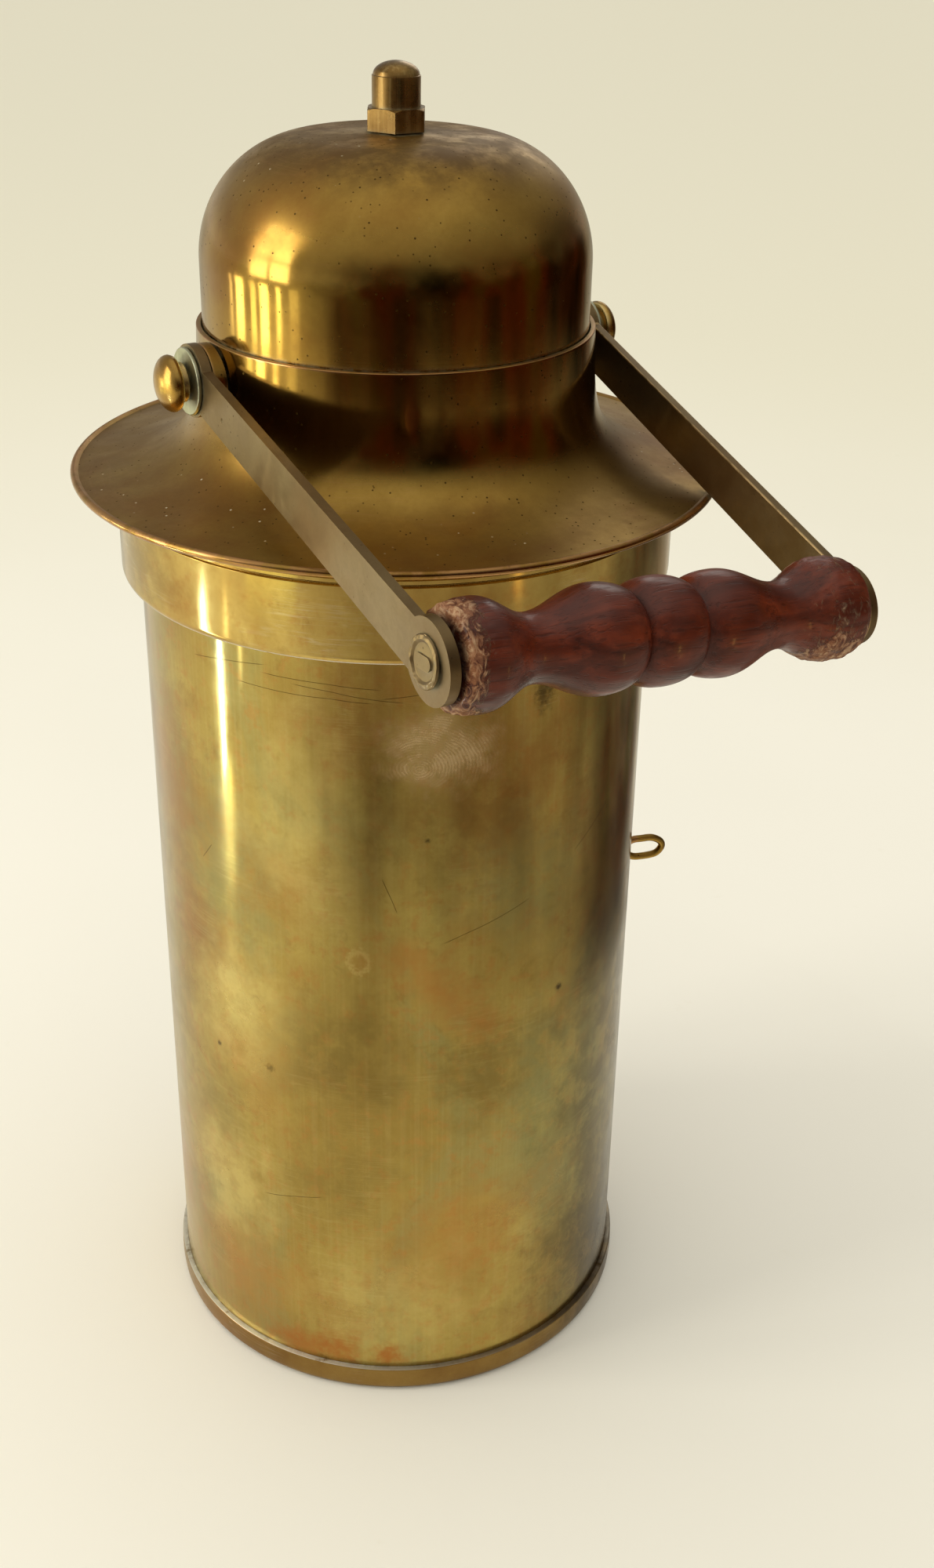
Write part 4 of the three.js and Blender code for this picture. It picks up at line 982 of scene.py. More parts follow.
BURNER = brass(
    "burner_brass", [(168, 132, 62), (190, 156, 82), (202, 170, 94), (176, 138, 68)],
    edge=srgb(226, 200, 130), grime=DARK_GRIME, rough=(0.26, 0.38), patch=40)
STEEL = steel("dull_steel", srgb(150, 150, 144), srgb(120, 108, 90))
GRIME = steel("grimy_washer", srgb(186, 186, 160), srgb(132, 134, 104))
WOOD = varnished_wood()
PANE = clear_glass("window_pane", (0.93, 0.97, 0.94, 1))
CHIMNEY = clear_glass("chimney_glass", (0.96, 0.98, 0.97, 1))

SLOTS = {
    "body_brass": BODY, "band_brass": BAND, "dark_brass": DARK, "strap_brass": STRAP, "burner_brass": BURNER,
    "steel": STEEL, "tinned": tinned_mirror(), "wood": WOOD, "glass": PANE, "cotton": woven_cotton(),
}
for node, slot in SLOT_OF.items():
    mesh = frame["nodes"][node].data
    mesh.materials.clear()
    mesh.materials.append(SLOTS[slot])


# Base pan: the body stands inside its low wall. Its rubbed lip is a bright seam, partly a painted reflection,
# and painted shade dulls it on one side
PAN_BULGE = 0.12
PAN_LEDGE = 0.03
PAN_LIP = 0.3
PAN_SHADED_SIDE = math.radians(305)


def base_pan():
    corner = ellipse_quarter(PAN_R, 0, PAN_R - PAN_CORNER, PAN_CORNER, 8)
    outline = [(0, 0), *[(r, PAN_CORNER - z) for r, z in corner[::-1]]]
    outline += [
        (PAN_R + PAN_BULGE, PAN_H * 0.55), (PAN_R, PAN_H - 0.1, 0.25), (BODY_R + PAN_LEDGE, PAN_H, 0.02),
        (BODY_R + PAN_LEDGE, PAN_H - 0.6, 0.2), (BODY_R + FIT, PAN_FLOOR, 0.3), (0, PAN_FLOOR),
    ]
    smooth = rounded(outline, 0.4, closed=False)
    lip = [(r, z, 1 if z > PAN_H - PAN_LIP and r < PAN_R - PAN_BULGE else 0) for r, z, _ in smooth]
    points, faces, wear = lathe(lip)
    # Painted shade: the lip's pale seam fades on the side that lies in shade.
    for i, (x, y, _) in enumerate(points):
        wear[i] *= 1 - 0.85 * max(0.0, math.cos(math.atan2(y, x) - PAN_SHADED_SIDE)) ** 1.5
    return points, faces, wear


piece("base_pan_turned", base_pan(), PAN, "base_pan")


# Body: a rolled sheet with the door opening, air inlets and two small holes
def spread(count, centre, width):
    return [centre + width * (i / (count - 1) - 0.5) for i in range(count)]


def winder_line(raw):
    """Lays a solid made along Z on the winder's axis."""
    return moved(raw, turn_z(BURNER_TURN) @ shift(y=WINDER_OFF, z=WINDER_Z) @ ALONG_X)


def body_cuts():
    inside, outside = BODY_R - SHEET - OVERRUN, BODY_R + OVERRUN
    cuts = [arc_plate(inside, outside, DOOR_MID - OPEN_HALF, DOOR_MID + OPEN_HALF, OPEN_FOOT, OPEN_TOP)]
    for angle in spread(7, DOOR_MID, math.radians(72)):
        cuts.append(radial(rod(INLET_R, inside, outside, 24), angle, INLET_Z))
    cuts.append(winder_line(rod(WINDER_R + 2 * FIT, inside - OVERRUN, outside, 24)))
    cuts.append(radial(rod(BUTTON_BORE, inside, outside, 24), BUTTON_AT, BUTTON_Z))
    return cuts


piece(
    "body_rolled", tube(BODY_R - SHEET, BODY_R, PAN_FLOOR + FIT, BODY_TOP, FINE), BODY, "body_shell",
    cuts=body_cuts())


# Cowl: lip, neck, flare and rolled edge
def bezier(points, t):
    a, b, c, d = (Vector(p) for p in points)
    u = 1 - t
    place = a * u ** 3 + b * 3 * t * u ** 2 + c * 3 * t ** 2 * u + d * t ** 3
    ahead = (b - a) * 3 * u ** 2 + (c - b) * 6 * u * t + (d - c) * 3 * t ** 2
    return place, ahead.normalized()


FLARE = [
    (NECK_R, NECK_FOOT),
    (NECK_R + FIT, NECK_FOOT - FLARE_DROP),
    (NECK_R + FLARE_REACH, BRIM_Z + FLARE_RISE),
    (BRIM_R - 2 * BEAD_R, BRIM_Z + BEAD_R / 2),
]
FLARE_STEPS = 40


def flare_line(distance):
    """The flare's outline, or one at a distance under it."""
    line = []
    for i in range(FLARE_STEPS + 1):
        place, ahead = bezier(FLARE, i / FLARE_STEPS)
        line.append((place.x + ahead.y * distance, place.y - ahead.x * distance))
    return line


def cowl():
    centre = BRIM_R - BEAD_R
    turns = [math.radians(a) for a in range(96, -130, -16)]
    bead = [(centre + BEAD_R * math.cos(turn), BRIM_Z + BEAD_R * math.sin(turn), 1) for turn in turns]
    lip = rounded([(DOME_R + FIT, LIP_TOP), (LIP_R + 0.05, LIP_TOP), (NECK_R, NECK_FOOT)], 0.3, closed=False)
    return lathe([*lip[:-1], *flare_line(0), *bead, *flare_line(SHEET)[::-1]])


def neck_holes(radius, height, angles):
    inside, outside = NECK_R - 2 * OVERRUN, NECK_R + 2 * OVERRUN
    return [radial(rod(radius, inside, outside, 28), angle, height) for angle in angles]


cowl_cuts = neck_holes(FLUE_R, FLUE_Z, spread(7, DOOR_MID, math.radians(90)))
cowl_cuts += neck_holes(STUD_R + FIT, PIVOT_Z, (0, TAU / 2))
piece("cowl_spun", cowl(), DARK, "cowl", cuts=cowl_cuts)

# Lid band: a skirt with three fine grooves under the flare and a rounded foot
GROOVES = (6.2, 4.6, 3.0)
GROOVE_HALF = 0.4
GROOVE_DEEP = 0.42
BAND_SEAM = 0.75


def lid_band():
    under = flare_line(SHEET)
    top = max(z for r, z in under if r > BAND_R - 0.8) - FIT
    top = min(top, next(z for r, z in under if r > BAND_R) - FIT)
    inner = BODY_R + FIT
    corner = ellipse_quarter(BAND_R, 0, BAND_R - BAND_CORNER, BAND_CORNER, 8)
    outline = [(inner, BAND_FOOT + 0.02, 0.15), *[(r, BAND_FOOT + BAND_CORNER - z) for r, z in corner[::-1]]]
    for below in GROOVES:
        groove = top - below
        outline += [
            (BAND_R, groove - GROOVE_HALF, 0.12), (BAND_R - GROOVE_DEEP, groove, 0.12),
            (BAND_R, groove + GROOVE_HALF, 0.12),
        ]
    outline += [
        (BAND_R, top), (inner, top), (inner, top - SHEET), (BAND_R - SHEET, top - SHEET),
        (BAND_R - SHEET, BAND_FOOT + BAND_CORNER), (BAND_R - BAND_CORNER, BAND_FOOT + SHEET),
        (inner, BAND_FOOT + SHEET),
    ]
    # The foot's pale rubbed line is rubbed metal and a painted highlight.
    return lathe([(r, z, 1 if z < BAND_FOOT + BAND_SEAM else 0) for r, z, _ in rounded(outline, 0.25)])


piece("lid_band_rolled", lid_band(), BAND, "lid_band")


# Dome: straight wall, round shoulder and a slightly crowned top
def dome():
    outer = ellipse_quarter(DOME_R, SHOULDER_Z, CROWN_R, SHOULDER_TOP, 36)
    inner = ellipse_quarter(DOME_R - SHEET, SHOULDER_Z, CROWN_R, SHOULDER_TOP - SHEET, 24)
    hole = ROD_R + FIT
    outline = [(DOME_R, DOME_FOOT), *outer, (hole, DOME_TOP, 0.2), (hole, DOME_TOP - SHEET, 0.2)]
    return hoop([*outline, *inner[::-1], (DOME_R - SHEET, DOME_FOOT)], FINE)


piece("dome_spun", dome(), DARK, "dome")


# Cap nut: hexagon, barrel and low domed end, over a blind bore
def cap_nut():
    foot = NUT_FOOT + NUT_HEX
    corner = NUT_AF / math.sqrt(3)
    low, brow, wide, narrow = NUT_FOOT - 1, foot - 1, corner + 0.9, corner - 0.75
    made = to_object("cap_nut_turned", hexagon(NUT_AF, NUT_FOOT, foot))
    limit = [(0, low), (wide, low), (wide, brow), (narrow, foot + 0.02), (0, foot + 0.02)]
    combine(made, [lathe(limit, MID)], "INTERSECT")
    bevelled(made, 0.16, segments=2)
    crest = NUT_TOP - NUT_CROWN
    barrel = rounded([(0, foot - FIT), (NUT_R, foot - FIT, 0.1), (NUT_R, crest - 0.1, 0.18)], closed=False)
    crown = ellipse_quarter(NUT_R - 0.22, crest, 0, NUT_TOP, 12)
    combine(made, [lathe([*barrel, *crown], MID)], "UNION")
    combine(made, [rod(ROD_R + FIT, NUT_FOOT - OVERRUN, crest - NUT_R / 2 + FIT)])
    return made


dress(cap_nut(), NUT, "cap_nut", sharp=24)


# Pivots: mushroom-headed stud, washer and spacer on each side
def pivot_stud():
    collar = STRAP_OUT + 3 * FIT + WASHER_T
    head = collar + STUD_COLLAR_H
    return spindle([
        (0, STUD_TAIL), (STUD_R, STUD_TAIL, 0.3), (STUD_R, collar, 0.1), (4.3, collar, 0.25),
        (4.0, head, 0.1), (STUD_HEAD_R - 0.35, head, 0.4), (STUD_HEAD_R, head + 0.9),
        *ellipse_quarter(STUD_HEAD_R, head + 1.0, 0, head + STUD_HEAD_H, 16)[1:],
    ])


spacer = radial(tube(STUD_R + FIT, SPACER_R, NECK_R - 2 * SHEET, STRAP_IN - FIT), 0, PIVOT_Z)
neck = lathe([(0, LIP_TOP + 1), (NECK_R + FIT, LIP_TOP + 1), *flare_line(-FIT), (0, BRIM_Z)], ROUND)
washer = tube(STUD_R + FIT, WASHER_R, STRAP_OUT + FIT, STRAP_OUT + FIT + WASHER_T)
for side, turn in (("right", 0), ("left", TAU / 2)):
    piece(f"{side}_stud_turned", radial(pivot_stud(), turn, PIVOT_Z), KNOB, f"{side}_pivot_stud")
    piece(f"{side}_washer_grimy", radial(washer, turn, PIVOT_Z), GRIME, f"{side}_pivot_washer")
    piece(f"{side}_spacer_turned", moved(spacer, turn_z(turn)), DARK, f"{side}_pivot_spacer", cuts=[neck])

# Bail: two flat straps whose lower edge rests on the brim's bead, the left one racked a little higher
PIT = [(0, -0.6), (0.35, -0.4), (0.6, 0), (0.7, 0.5), (0, 0.5)]
PIT_AT = (17, -0.6)


def rest_angle():
    crest = BRIM_R - BEAD_R
    reach = math.sqrt(crest ** 2 - STRAP_IN ** 2)
    drop = PIVOT_Z - BRIM_Z - BEAD_R - FIT
    half = (DEPTH_UP + DEPTH_LOW) / 4
    return math.acos(half / math.hypot(drop, reach)) - math.atan2(reach, drop)


def strap_outline():
    upper = math.asin(DEPTH_UP / 2 / EYE_UP)
    lower = math.asin(DEPTH_LOW / 2 / EYE_LOW)
    outline = arc_points(0, 0, EYE_UP, upper, TAU - upper, 56)
    return outline + arc_points(STRAP_LEN, 0, EYE_LOW, TAU / 2 + lower, 1.5 * TAU - lower, 56)


eyes = {}
for side, sign, angle in (("right", 1, rest_angle()), ("left", -1, rest_angle() - RACK)):
    along = Vector((0, -math.cos(angle), -math.sin(angle)))
    up = Vector((0, -math.sin(angle), math.cos(angle)))
    face = STRAP_OUT if sign > 0 else -STRAP_IN
    made = to_object(f"{side}_strap_bar", prism(strap_outline(), 0, STRAP_T))
    lower_hole = rod(GRIP_ROD_R + 2 * FIT, -1, STRAP_T + 1)
    holes = [rod(STUD_R + FIT, -1, STRAP_T + 1), moved(lower_hole, shift(STRAP_LEN))]
    if side == "left":
        holes.append(moved(lathe(PIT, 16), shift(*PIT_AT, STRAP_T)))
    combine(made, holes)
    bevelled(made, 0.32)
    dress(made, STRAP, f"{side}_strap")
    turn = Matrix((along, up, (-1, 0, 0))).transposed().to_4x4()
    made.matrix_world = Matrix.Translation(Vector((face, 0, PIVOT_Z)) * MM) @ turn
    eyes[side] = Vector((sign * (STRAP_OUT - STRAP_T / 2), 0, PIVOT_Z)) + along * STRAP_LEN

# Grip: its own Z runs from the left eye to the right eye
eye_line = eyes["right"] - eyes["left"]
grip_turn = Vector((0, 0, 1)).rotation_difference(eye_line.normalized()).to_matrix().to_4x4()
grip_place = Matrix.Translation((eyes["left"] + eyes["right"]) / 2 * MM) @ grip_turn
eye_half = eye_line.length / 2
GRIP_HALF = eye_half - STRAP_T / 2 - GRIP_GAP
GRIP_BEAD, GRIP_BULGE, GRIP_WAIST, GRIP_LAST = (share * GRIP_HALF for share in (0.15, 0.31, 0.63, 0.87))


def arc(share):
    return math.sqrt(max(0.0, 1 - share * share))


def ease(share):
    return (1 - math.cos(share * math.pi)) / 2


def grip_radius(place):
    """Radius of the turned grip at a distance from its middle."""
    x = abs(place)
    if x < GRIP_BEAD:
        return GRIP_GROOVE + (GRIP_CREST - GRIP_GROOVE) * arc(x / GRIP_BEAD)
    if x < GRIP_BULGE:
        return GRIP_GROOVE + (GRIP_CREST - GRIP_GROOVE) * arc(1 - (x - GRIP_BEAD) / (GRIP_BULGE - GRIP_BEAD))
    if x < GRIP_WAIST:
        return GRIP_CREST + (GRIP_NECK - GRIP_CREST) * ease((x - GRIP_BULGE) / (GRIP_WAIST - GRIP_BULGE))
    if x < GRIP_LAST:
        return GRIP_NECK + (GRIP_CREST - GRIP_NECK) * ease((x - GRIP_WAIST) / (GRIP_LAST - GRIP_WAIST))
    return GRIP_END + (GRIP_CREST - GRIP_END) * arc((x - GRIP_LAST) / (GRIP_HALF - GRIP_LAST))


def grip_damage(x, y, z):
    """How bare the wood is at a point: worn round the left rim, and chewed on one side of the right end."""
    share = z / GRIP_HALF
    uneven = noise.noise(Vector((x, y, z)) * 0.16)
    rim = max(0.0, 1 - max(0.0, 0.96 + share) / 0.1) * (0.85 + 0.5 * uneven)
    chewed_side = 0.72 + 0.4 * math.sin(math.atan2(y, x) + GRIP_CHEWED)
    chew = max(0.0, min(1.0, (share - 0.64) / 0.16)) * chewed_side
    return min(1.0, max(0.0, rim, chew))


def grip():
    """The grip's mesh, with how bare each point is in the place of its wear."""
    count, around = 260, 128
    bore = GRIP_ROD_R + FIT
    places = []
    for i in range(count + 1):
        bunched = -GRIP_HALF * math.cos(i / count * math.pi)
        even = -GRIP_HALF + 2 * GRIP_HALF * i / count
        places.append(round(0.35 * bunched + 0.65 * even, 4))
    start = [(bore, -GRIP_HALF), (GRIP_END - 0.6, -GRIP_HALF), (GRIP_END - 0.15, -GRIP_HALF + 0.12)]
    middle = [(grip_radius(p), p) for p in sorted(set(places))[2:-2]]
    points, faces, _ = lathe([*start, *middle, *[(r, -z) for r, z in start[::-1]]], around)
    bare = []
    for i, (x, y, z) in enumerate(points):
        radius = math.hypot(x, y)
        rough = 0.0
        if radius > bore + 1:
            rough = grip_damage(x, y, z)
            wobble = noise.noise(Vector((x, y, z)) * 0.09) * 0.12
            dents = noise.noise(Vector((x * 0.7, y * 0.7, z * 0.5))) * 0.45 * rough
            size = 1 + (wobble + dents - 0.1 * rough) / radius
            points[i] = (x * size, y * size, z)
        bare.append(rough)
    return points, faces, bare


grip_points, grip_faces, grip_bare = grip()
made = to_object("grip_turned", (grip_points, grip_faces, [0]))
layer = made.data.attributes.new("bare", "FLOAT", "POINT")
layer.data.foreach_set("value", grip_bare)
dress(made, WOOD, "grip", sharp=70)
made.matrix_world = grip_place

# The rod's ends: a flat tang peened over inside a shallow round cup
ROD_END = eye_half + STRAP_T / 2 + FIT
CUP_FOOT = ROD_END + FIT
CUP = [
    (0, CUP_FOOT), (5.2, CUP_FOOT, 0.2), (4.9, CUP_FOOT + 0.45, 0.3), (4.1, CUP_FOOT + 0.62, 0.25),
    (3.5, CUP_FOOT + 0.12, 0.2), (0, CUP_FOOT + 0.1),
]
TANG_W = 2.7
TANG_L = 5.6

for side, sign in (("right", 1), ("left", -1)):
    points, faces, wear = spindle(CUP, radius=0.2)
    for i, (x, y, z) in enumerate(points):
        if z > CUP_FOOT + 0.3:
            lift = noise.noise(Vector((x, y, 3.7 * sign)) * 1.1) * 0.22
            points[i] = (x, y, min(z + lift, CUP_FOOT + 1.0))
    made = to_object(f"grip_rivet_{side}", (points, faces, wear))
    tang = oblong((TANG_L - TANG_W) / 2, TANG_W / 2, 16)
    combine(made, [prism(tang, CUP_FOOT + 0.05, CUP_FOOT + 0.6)], "UNION")
    bevelled(made, 0.14, segments=2, angle=50)
    dress(made, STRAP, f"grip_screw_{side}")
    flip = Matrix.Identity(4) if sign > 0 else Matrix.Rotation(TAU / 2, 4, "Y")
    made.matrix_world = grip_place @ flip

rod_outline = [(0, -ROD_END), (GRIP_ROD_R, -ROD_END), (GRIP_ROD_R, ROD_END), (0, ROD_END)]
piece("grip_rod_round", spindle(rod_outline, radius=0.2), STEEL, "grip_rod").matrix_world = grip_place


# Winder: a shaft whose outer end is bent into a wire loop
def smooth_path(knots, each=10):
    """Points of a smooth curve through the knots."""
    knots = [Vector(k) for k in knots]
    padded = [2 * knots[0] - knots[1], *knots, 2 * knots[-1] - knots[-2]]
    path = []
    for a, b, c, d in zip(padded, padded[1:], padded[2:], padded[3:]):
        for i in range(each):
            t = i / each
            square, cube = 2 * a - 5 * b + 4 * c - d, 3 * b - a - 3 * c + d
            path.append(0.5 * (2 * b + (c - a) * t + square * t ** 2 + cube * t ** 3))
    return [*path, knots[-1]]


def winder_key():
    """The shaft and the wire loop, both along X."""
    bend, end = KEY_HALF, KEY_REACH - KEY_WIRE
    knots = [
        (KEY_NECK - bend, 0, 0.25), (KEY_NECK, 0, 0.5), (KEY_NECK + bend, 0.1, bend * 0.86),
        (KEY_NECK + 2 * bend, 0.1, bend * 0.98), (KEY_REACH - 1.4 * bend, 0, bend * 1.02),
        (end - 0.5, 0, bend * 0.55), (end - 0.1, 0, -bend * 0.1),
        (KEY_REACH - bend, 0, -bend * 0.8), (KEY_NECK + 2 * bend, -0.1, -bend),
        (KEY_NECK + bend, -0.1, -bend * 0.9), (KEY_NECK, 0, -0.5), (KEY_NECK - bend, 0, -0.25),
    ]
    shaft = [(0, WINDER_TAIL), (WINDER_R, WINDER_TAIL), (WINDER_R, KEY_NECK), (0, KEY_NECK)]
    return moved(spindle(shaft, SMALL, 0.2), ALONG_X), sweep(smooth_path(knots), KEY_WIRE, 20)


shaft, wire = winder_key()
made = to_object("winder_key_bent", shaft)
combine(made, [wire], "UNION", crossing=True)
made.data.transform(turn_z(BURNER_TURN) @ shift(y=WINDER_OFF * MM, z=WINDER_Z * MM))
dress(made, DARK, "winder_shaft", sharp=50)

# Door: frame, pane, two retainers and a knob
window_from, window_to = DOOR_MID - WINDOW_HALF, DOOR_MID + WINDOW_HALF
door_sheet = arc_strip(
    DOOR_IN, DOOR_OUT, DOOR_MID - OPEN_HALF - LAP_FREE, DOOR_MID + OPEN_HALF + LAP_HINGE,
    OPEN_FOOT - DOOR_LAP, OPEN_TOP + DOOR_LAP)
view_cut = arc_plate(DOOR_IN - OVERRUN, DOOR_OUT + OVERRUN, window_from, window_to, WINDOW_FOOT, WINDOW_TOP)
piece("door_frame_pressed", door_sheet, BODY, "door_frame", cuts=[view_cut], bevel=0.3)
glass_arc = (window_from - GLASS_LAP, window_to + GLASS_LAP)
glass_low, glass_high = WINDOW_FOOT - GLASS_LAP_Z, WINDOW_TOP + GLASS_LAP_Z
pane = arc_strip(GLASS_IN, GLASS_OUT, *glass_arc, glass_low, glass_high)
piece("window_pane_bent", pane, PANE, "window_glass", bevel=0.3)

for place, edge, away in (("top", glass_high, 1), ("bottom", glass_low, -1)):
    foot = edge + away * FIT
    lip = GLASS_IN - FIT - SHEET
    rail = sorted((foot, foot + away * RETAINER_RAIL))
    tongue = sorted((edge - away * RETAINER_LAP, foot + away * RETAINER_RAIL))
    made = to_object(f"retainer_{place}_bent", arc_strip(lip, GLASS_OUT, *glass_arc, *rail))
    combine(made, [arc_strip(lip, lip + SHEET, *glass_arc, *tongue)], "UNION")
    dress(made, BODY, f"glass_retainer_{place}")


def door_knob():
    foot = DOOR_OUT + FIT
    top = foot + KNOB_H
    return spindle([
        (0, foot), (KNOB_R, foot, 0.2), (KNOB_R, foot + 1.0, 0.2), (1.9, foot + 2, 0.5),
        (1.75, foot + 4, 0.5), (KNOB_R - 0.3, foot + 4.9), *ellipse_quarter(KNOB_R, top - 2.6, 0, top, 12),
    ])


piece("door_knob_turned", radial(door_knob(), KNOB_AT, KNOB_Z), KNOB, "door_knob")


# Hinges: rolled knuckles round a headed pin, with two screw heads on each leaf
def at_hinge(raw):
    return moved(raw, turn_z(HINGE_AT) @ shift(KNUCKLE_AT))


def knuckle(low, high):
    return at_hinge(spindle([(0, low), (KNUCKLE_R, low), (KNUCKLE_R, high), (0, high)], SMALL, 0.25))


def leaf_screws(angle, radius, low, high):
    """Two screw heads on a leaf, and the slots that are cut into them."""
    sunk = radius - 0.4
    head = spindle([
        (0, sunk), (1.5, sunk, 0.1), (1.45, radius + 0.35, 0.2), (0.6, radius + 0.55), (0, radius + 0.6),
    ], 32, 0.35)
    slot = box(3.4, 0.4, radius + 0.3, radius + 1)
    heights = (low + 4, high - 4)
    return [radial(head, angle, z) for z in heights], [radial(slot, angle, z) for z in heights]


def hinge_leaf(name, node, plates, barrels, screws, bore):
    heads, slots = screws
    made = to_object(name, plates[0])
    combine(made, [*plates[1:], *barrels], "UNION")
    combine(made, [bore])
    bevelled(made, 0.15, segments=2)
    combine(made, heads, "UNION")
    combine(made, slots)
    dress(made, KNOB, node)


for place, middle in HINGE_Z.items():
    low, high = middle - HINGE_H / 2, middle + HINGE_H / 2
    door_low, door_high = middle - KNUCKLE_L / 2, middle + KNUCKLE_L / 2
    clear = (KNUCKLE_R + 2 * FIT) / BODY_R
    inner, outer = DOOR_IN, DOOR_OUT + FIT
    tabs = [(low, door_low - FIT), (door_high + FIT, high)]
    bore = at_hinge(rod(HINGE_BORE, low - OVERRUN, high + OVERRUN))
    hinge_leaf(
        f"{place}_hinge_body_side", f"{place}_hinge_body_leaf",
        [arc_strip(inner, inner + LEAF, HINGE_AT + clear, HINGE_AT + LEAF_ARC, low, high),
         *[arc_strip(inner, inner + LEAF, HINGE_AT, HINGE_AT + 2 * clear, a, b) for a, b in tabs]],
        [knuckle(a, b) for a, b in tabs],
        leaf_screws(HINGE_AT + clear + (LEAF_ARC - clear) * 0.55, inner + LEAF, low, high), bore)
    hinge_leaf(
        f"{place}_hinge_door_side", f"{place}_hinge_door_leaf",
        [arc_strip(outer, outer + LEAF, HINGE_AT - clear - LEAF_ARC, HINGE_AT - clear, low, high),
         arc_strip(outer, outer + LEAF, HINGE_AT - 2 * clear, HINGE_AT, door_low, door_high)],
        [knuckle(door_low, door_high)],
        leaf_screws(HINGE_AT - clear - LEAF_ARC * 0.55, outer + LEAF, low, high), bore)
    head = high + FIT
    pin = spindle([
        (0, low), (PIN_R, low), (PIN_R, head, 0.1), (PIN_HEAD_R, head, 0.2), (PIN_HEAD_R, head + 0.7, 0.3),
        (0, head + 1),
    ], SMALL, 0.2)
    piece(f"{place}_hinge_pin_turned", at_hinge(pin), STEEL, f"{place}_hinge_pin")


# Turn button with its stud and spacer
def at_button(raw):
    return radial(raw, BUTTON_AT, BUTTON_Z)


button_foot = DOOR_IN + BUTTON_LIFT + FIT
button = [(-y, x) for x, y in oblong(BUTTON_END_AT, BUTTON_END_R, 24)]
button_bore = at_button(rod(BUTTON_BORE, button_foot - 1, button_foot + 3))
piece(
    "turn_button_pressed", at_button(prism(button, button_foot, button_foot + BUTTON_T)), KNOB, "turn_button",
    cuts=[button_bore], bevel=0.3)
tail = BODY_R - SHEET - FIT
head = button_foot + BUTTON_T + FIT
stud = spindle([
    (0, tail - 1.2), (BUTTON_HEAD_R, tail - 1.2), (BUTTON_HEAD_R, tail), (BUTTON_STUD_R, tail),
    (BUTTON_STUD_R, head, 0.1), (BUTTON_HEAD_R, head, 0.2),
    *ellipse_quarter(BUTTON_HEAD_R, head + 0.4, 0, head + 1.2, 8),
], SMALL, 0.15)
piece("button_stud_turned", at_button(stud), KNOB, "button_stud")
lift = tube(BUTTON_BORE, 3, DOOR_IN, DOOR_IN + BUTTON_LIFT, SMALL, 0.2)
piece("button_spacer_turned", at_button(lift), KNOB, "button_spacer")

# Inside: flue cone, reflector, tray, font and burner
CONE = [(58.5, 216), (58.5, 219), (24, 236), (22.8, 236), (57.3, 218.4), (57.3, 216)]
piece("flue_cone_spun", hoop(CONE, ROUND, 0.25), STEEL, "flue_cone")

reach = BODY_R - SHEET - 2 * FIT
half = math.acos((REFLECTOR_R ** 2 + REFLECTOR_SHIFT ** 2 - reach ** 2) / (2 * REFLECTOR_R * REFLECTOR_SHIFT))
reflector = arc_strip(
    REFLECTOR_R - REFLECTOR_T, REFLECTOR_R, -TAU / 4 - half, -TAU / 4 + half, *REFLECTOR_Z, 1)
piece("reflector_bent", moved(reflector, shift(y=REFLECTOR_SHIFT)), SLOTS["tinned"], "reflector", bevel=0.2)

tray = spindle([
    (0, TRAY_FOOT), (TRAY_R, TRAY_FOOT, 0.6), (TRAY_R, TRAY_TOP), (TRAY_R - SHEET, TRAY_TOP),
    (TRAY_R - SHEET, TRAY_FOOT + SHEET, 0.5), (0, TRAY_FOOT + SHEET),
], ROUND)
piece("font_tray_pressed", tray, STEEL, "font_tray")


def at_filler(raw):
    return moved(raw, shift(y=FILLER_AT))


def font():
    wall = 1
    outer = ellipse_quarter(FONT_R, FONT_SHOULDER, FONT_CROWN_R, FONT_TOP, 24)
    inner = ellipse_quarter(FONT_R - wall, FONT_SHOULDER, FONT_CROWN_R, FONT_TOP - wall, 16)
    made = to_object("font_turned", spindle([
        (0, FONT_FOOT), (FONT_R, FONT_FOOT, 1.0), *outer, (FONT_MOUTH_R, FONT_TOP),
        (FONT_MOUTH_R, FONT_TOP - wall), *inner[::-1], (FONT_R - wall, FONT_FOOT + wall, 0.5),
        (0, FONT_FOOT + wall),
    ], ROUND))
    combine(made, [at_filler(rod(FILLER_R, 84, FILLER_TOP, MID))], "UNION")
    combine(made, [at_filler(rod(FILLER_BORE, 80, FILLER_TOP + OVERRUN, MID))])
    return made


dress(font(), BURNER, "font")

cap_top = FILLER_TOP + FIT + CAP_T
knurl = spindle([
    (0, cap_top - CAP_T), (CAP_BORE, cap_top - CAP_T), (CAP_BORE, cap_top - CAP_SKIRT),
    (CAP_R, cap_top - CAP_SKIRT, 0.3), (CAP_R, cap_top, 0.6), (0, cap_top),
])
for i, (x, y, z) in enumerate(knurl[0]):
    if math.hypot(x, y) > CAP_R - 0.3 and z < cap_top - 0.4 and i % 2:
        knurl[0][i] = (x * 0.975, y * 0.975, z)
piece("filler_cap_knurled", at_filler(knurl), BURNER, "filler_cap", sharp=60)

collar_foot = FONT_TOP + FIT
collar_top = collar_foot + COLLAR_H
collar = [
    (COLLAR_BORE, collar_foot - 4), (COLLAR_TAIL_R, collar_foot - 4), (COLLAR_TAIL_R, collar_foot),
    (COLLAR_R, collar_foot), (COLLAR_R, collar_top), (COLLAR_BORE, collar_top),
]
piece("burner_collar_turned", hoop(collar), BURNER, "burner_collar")

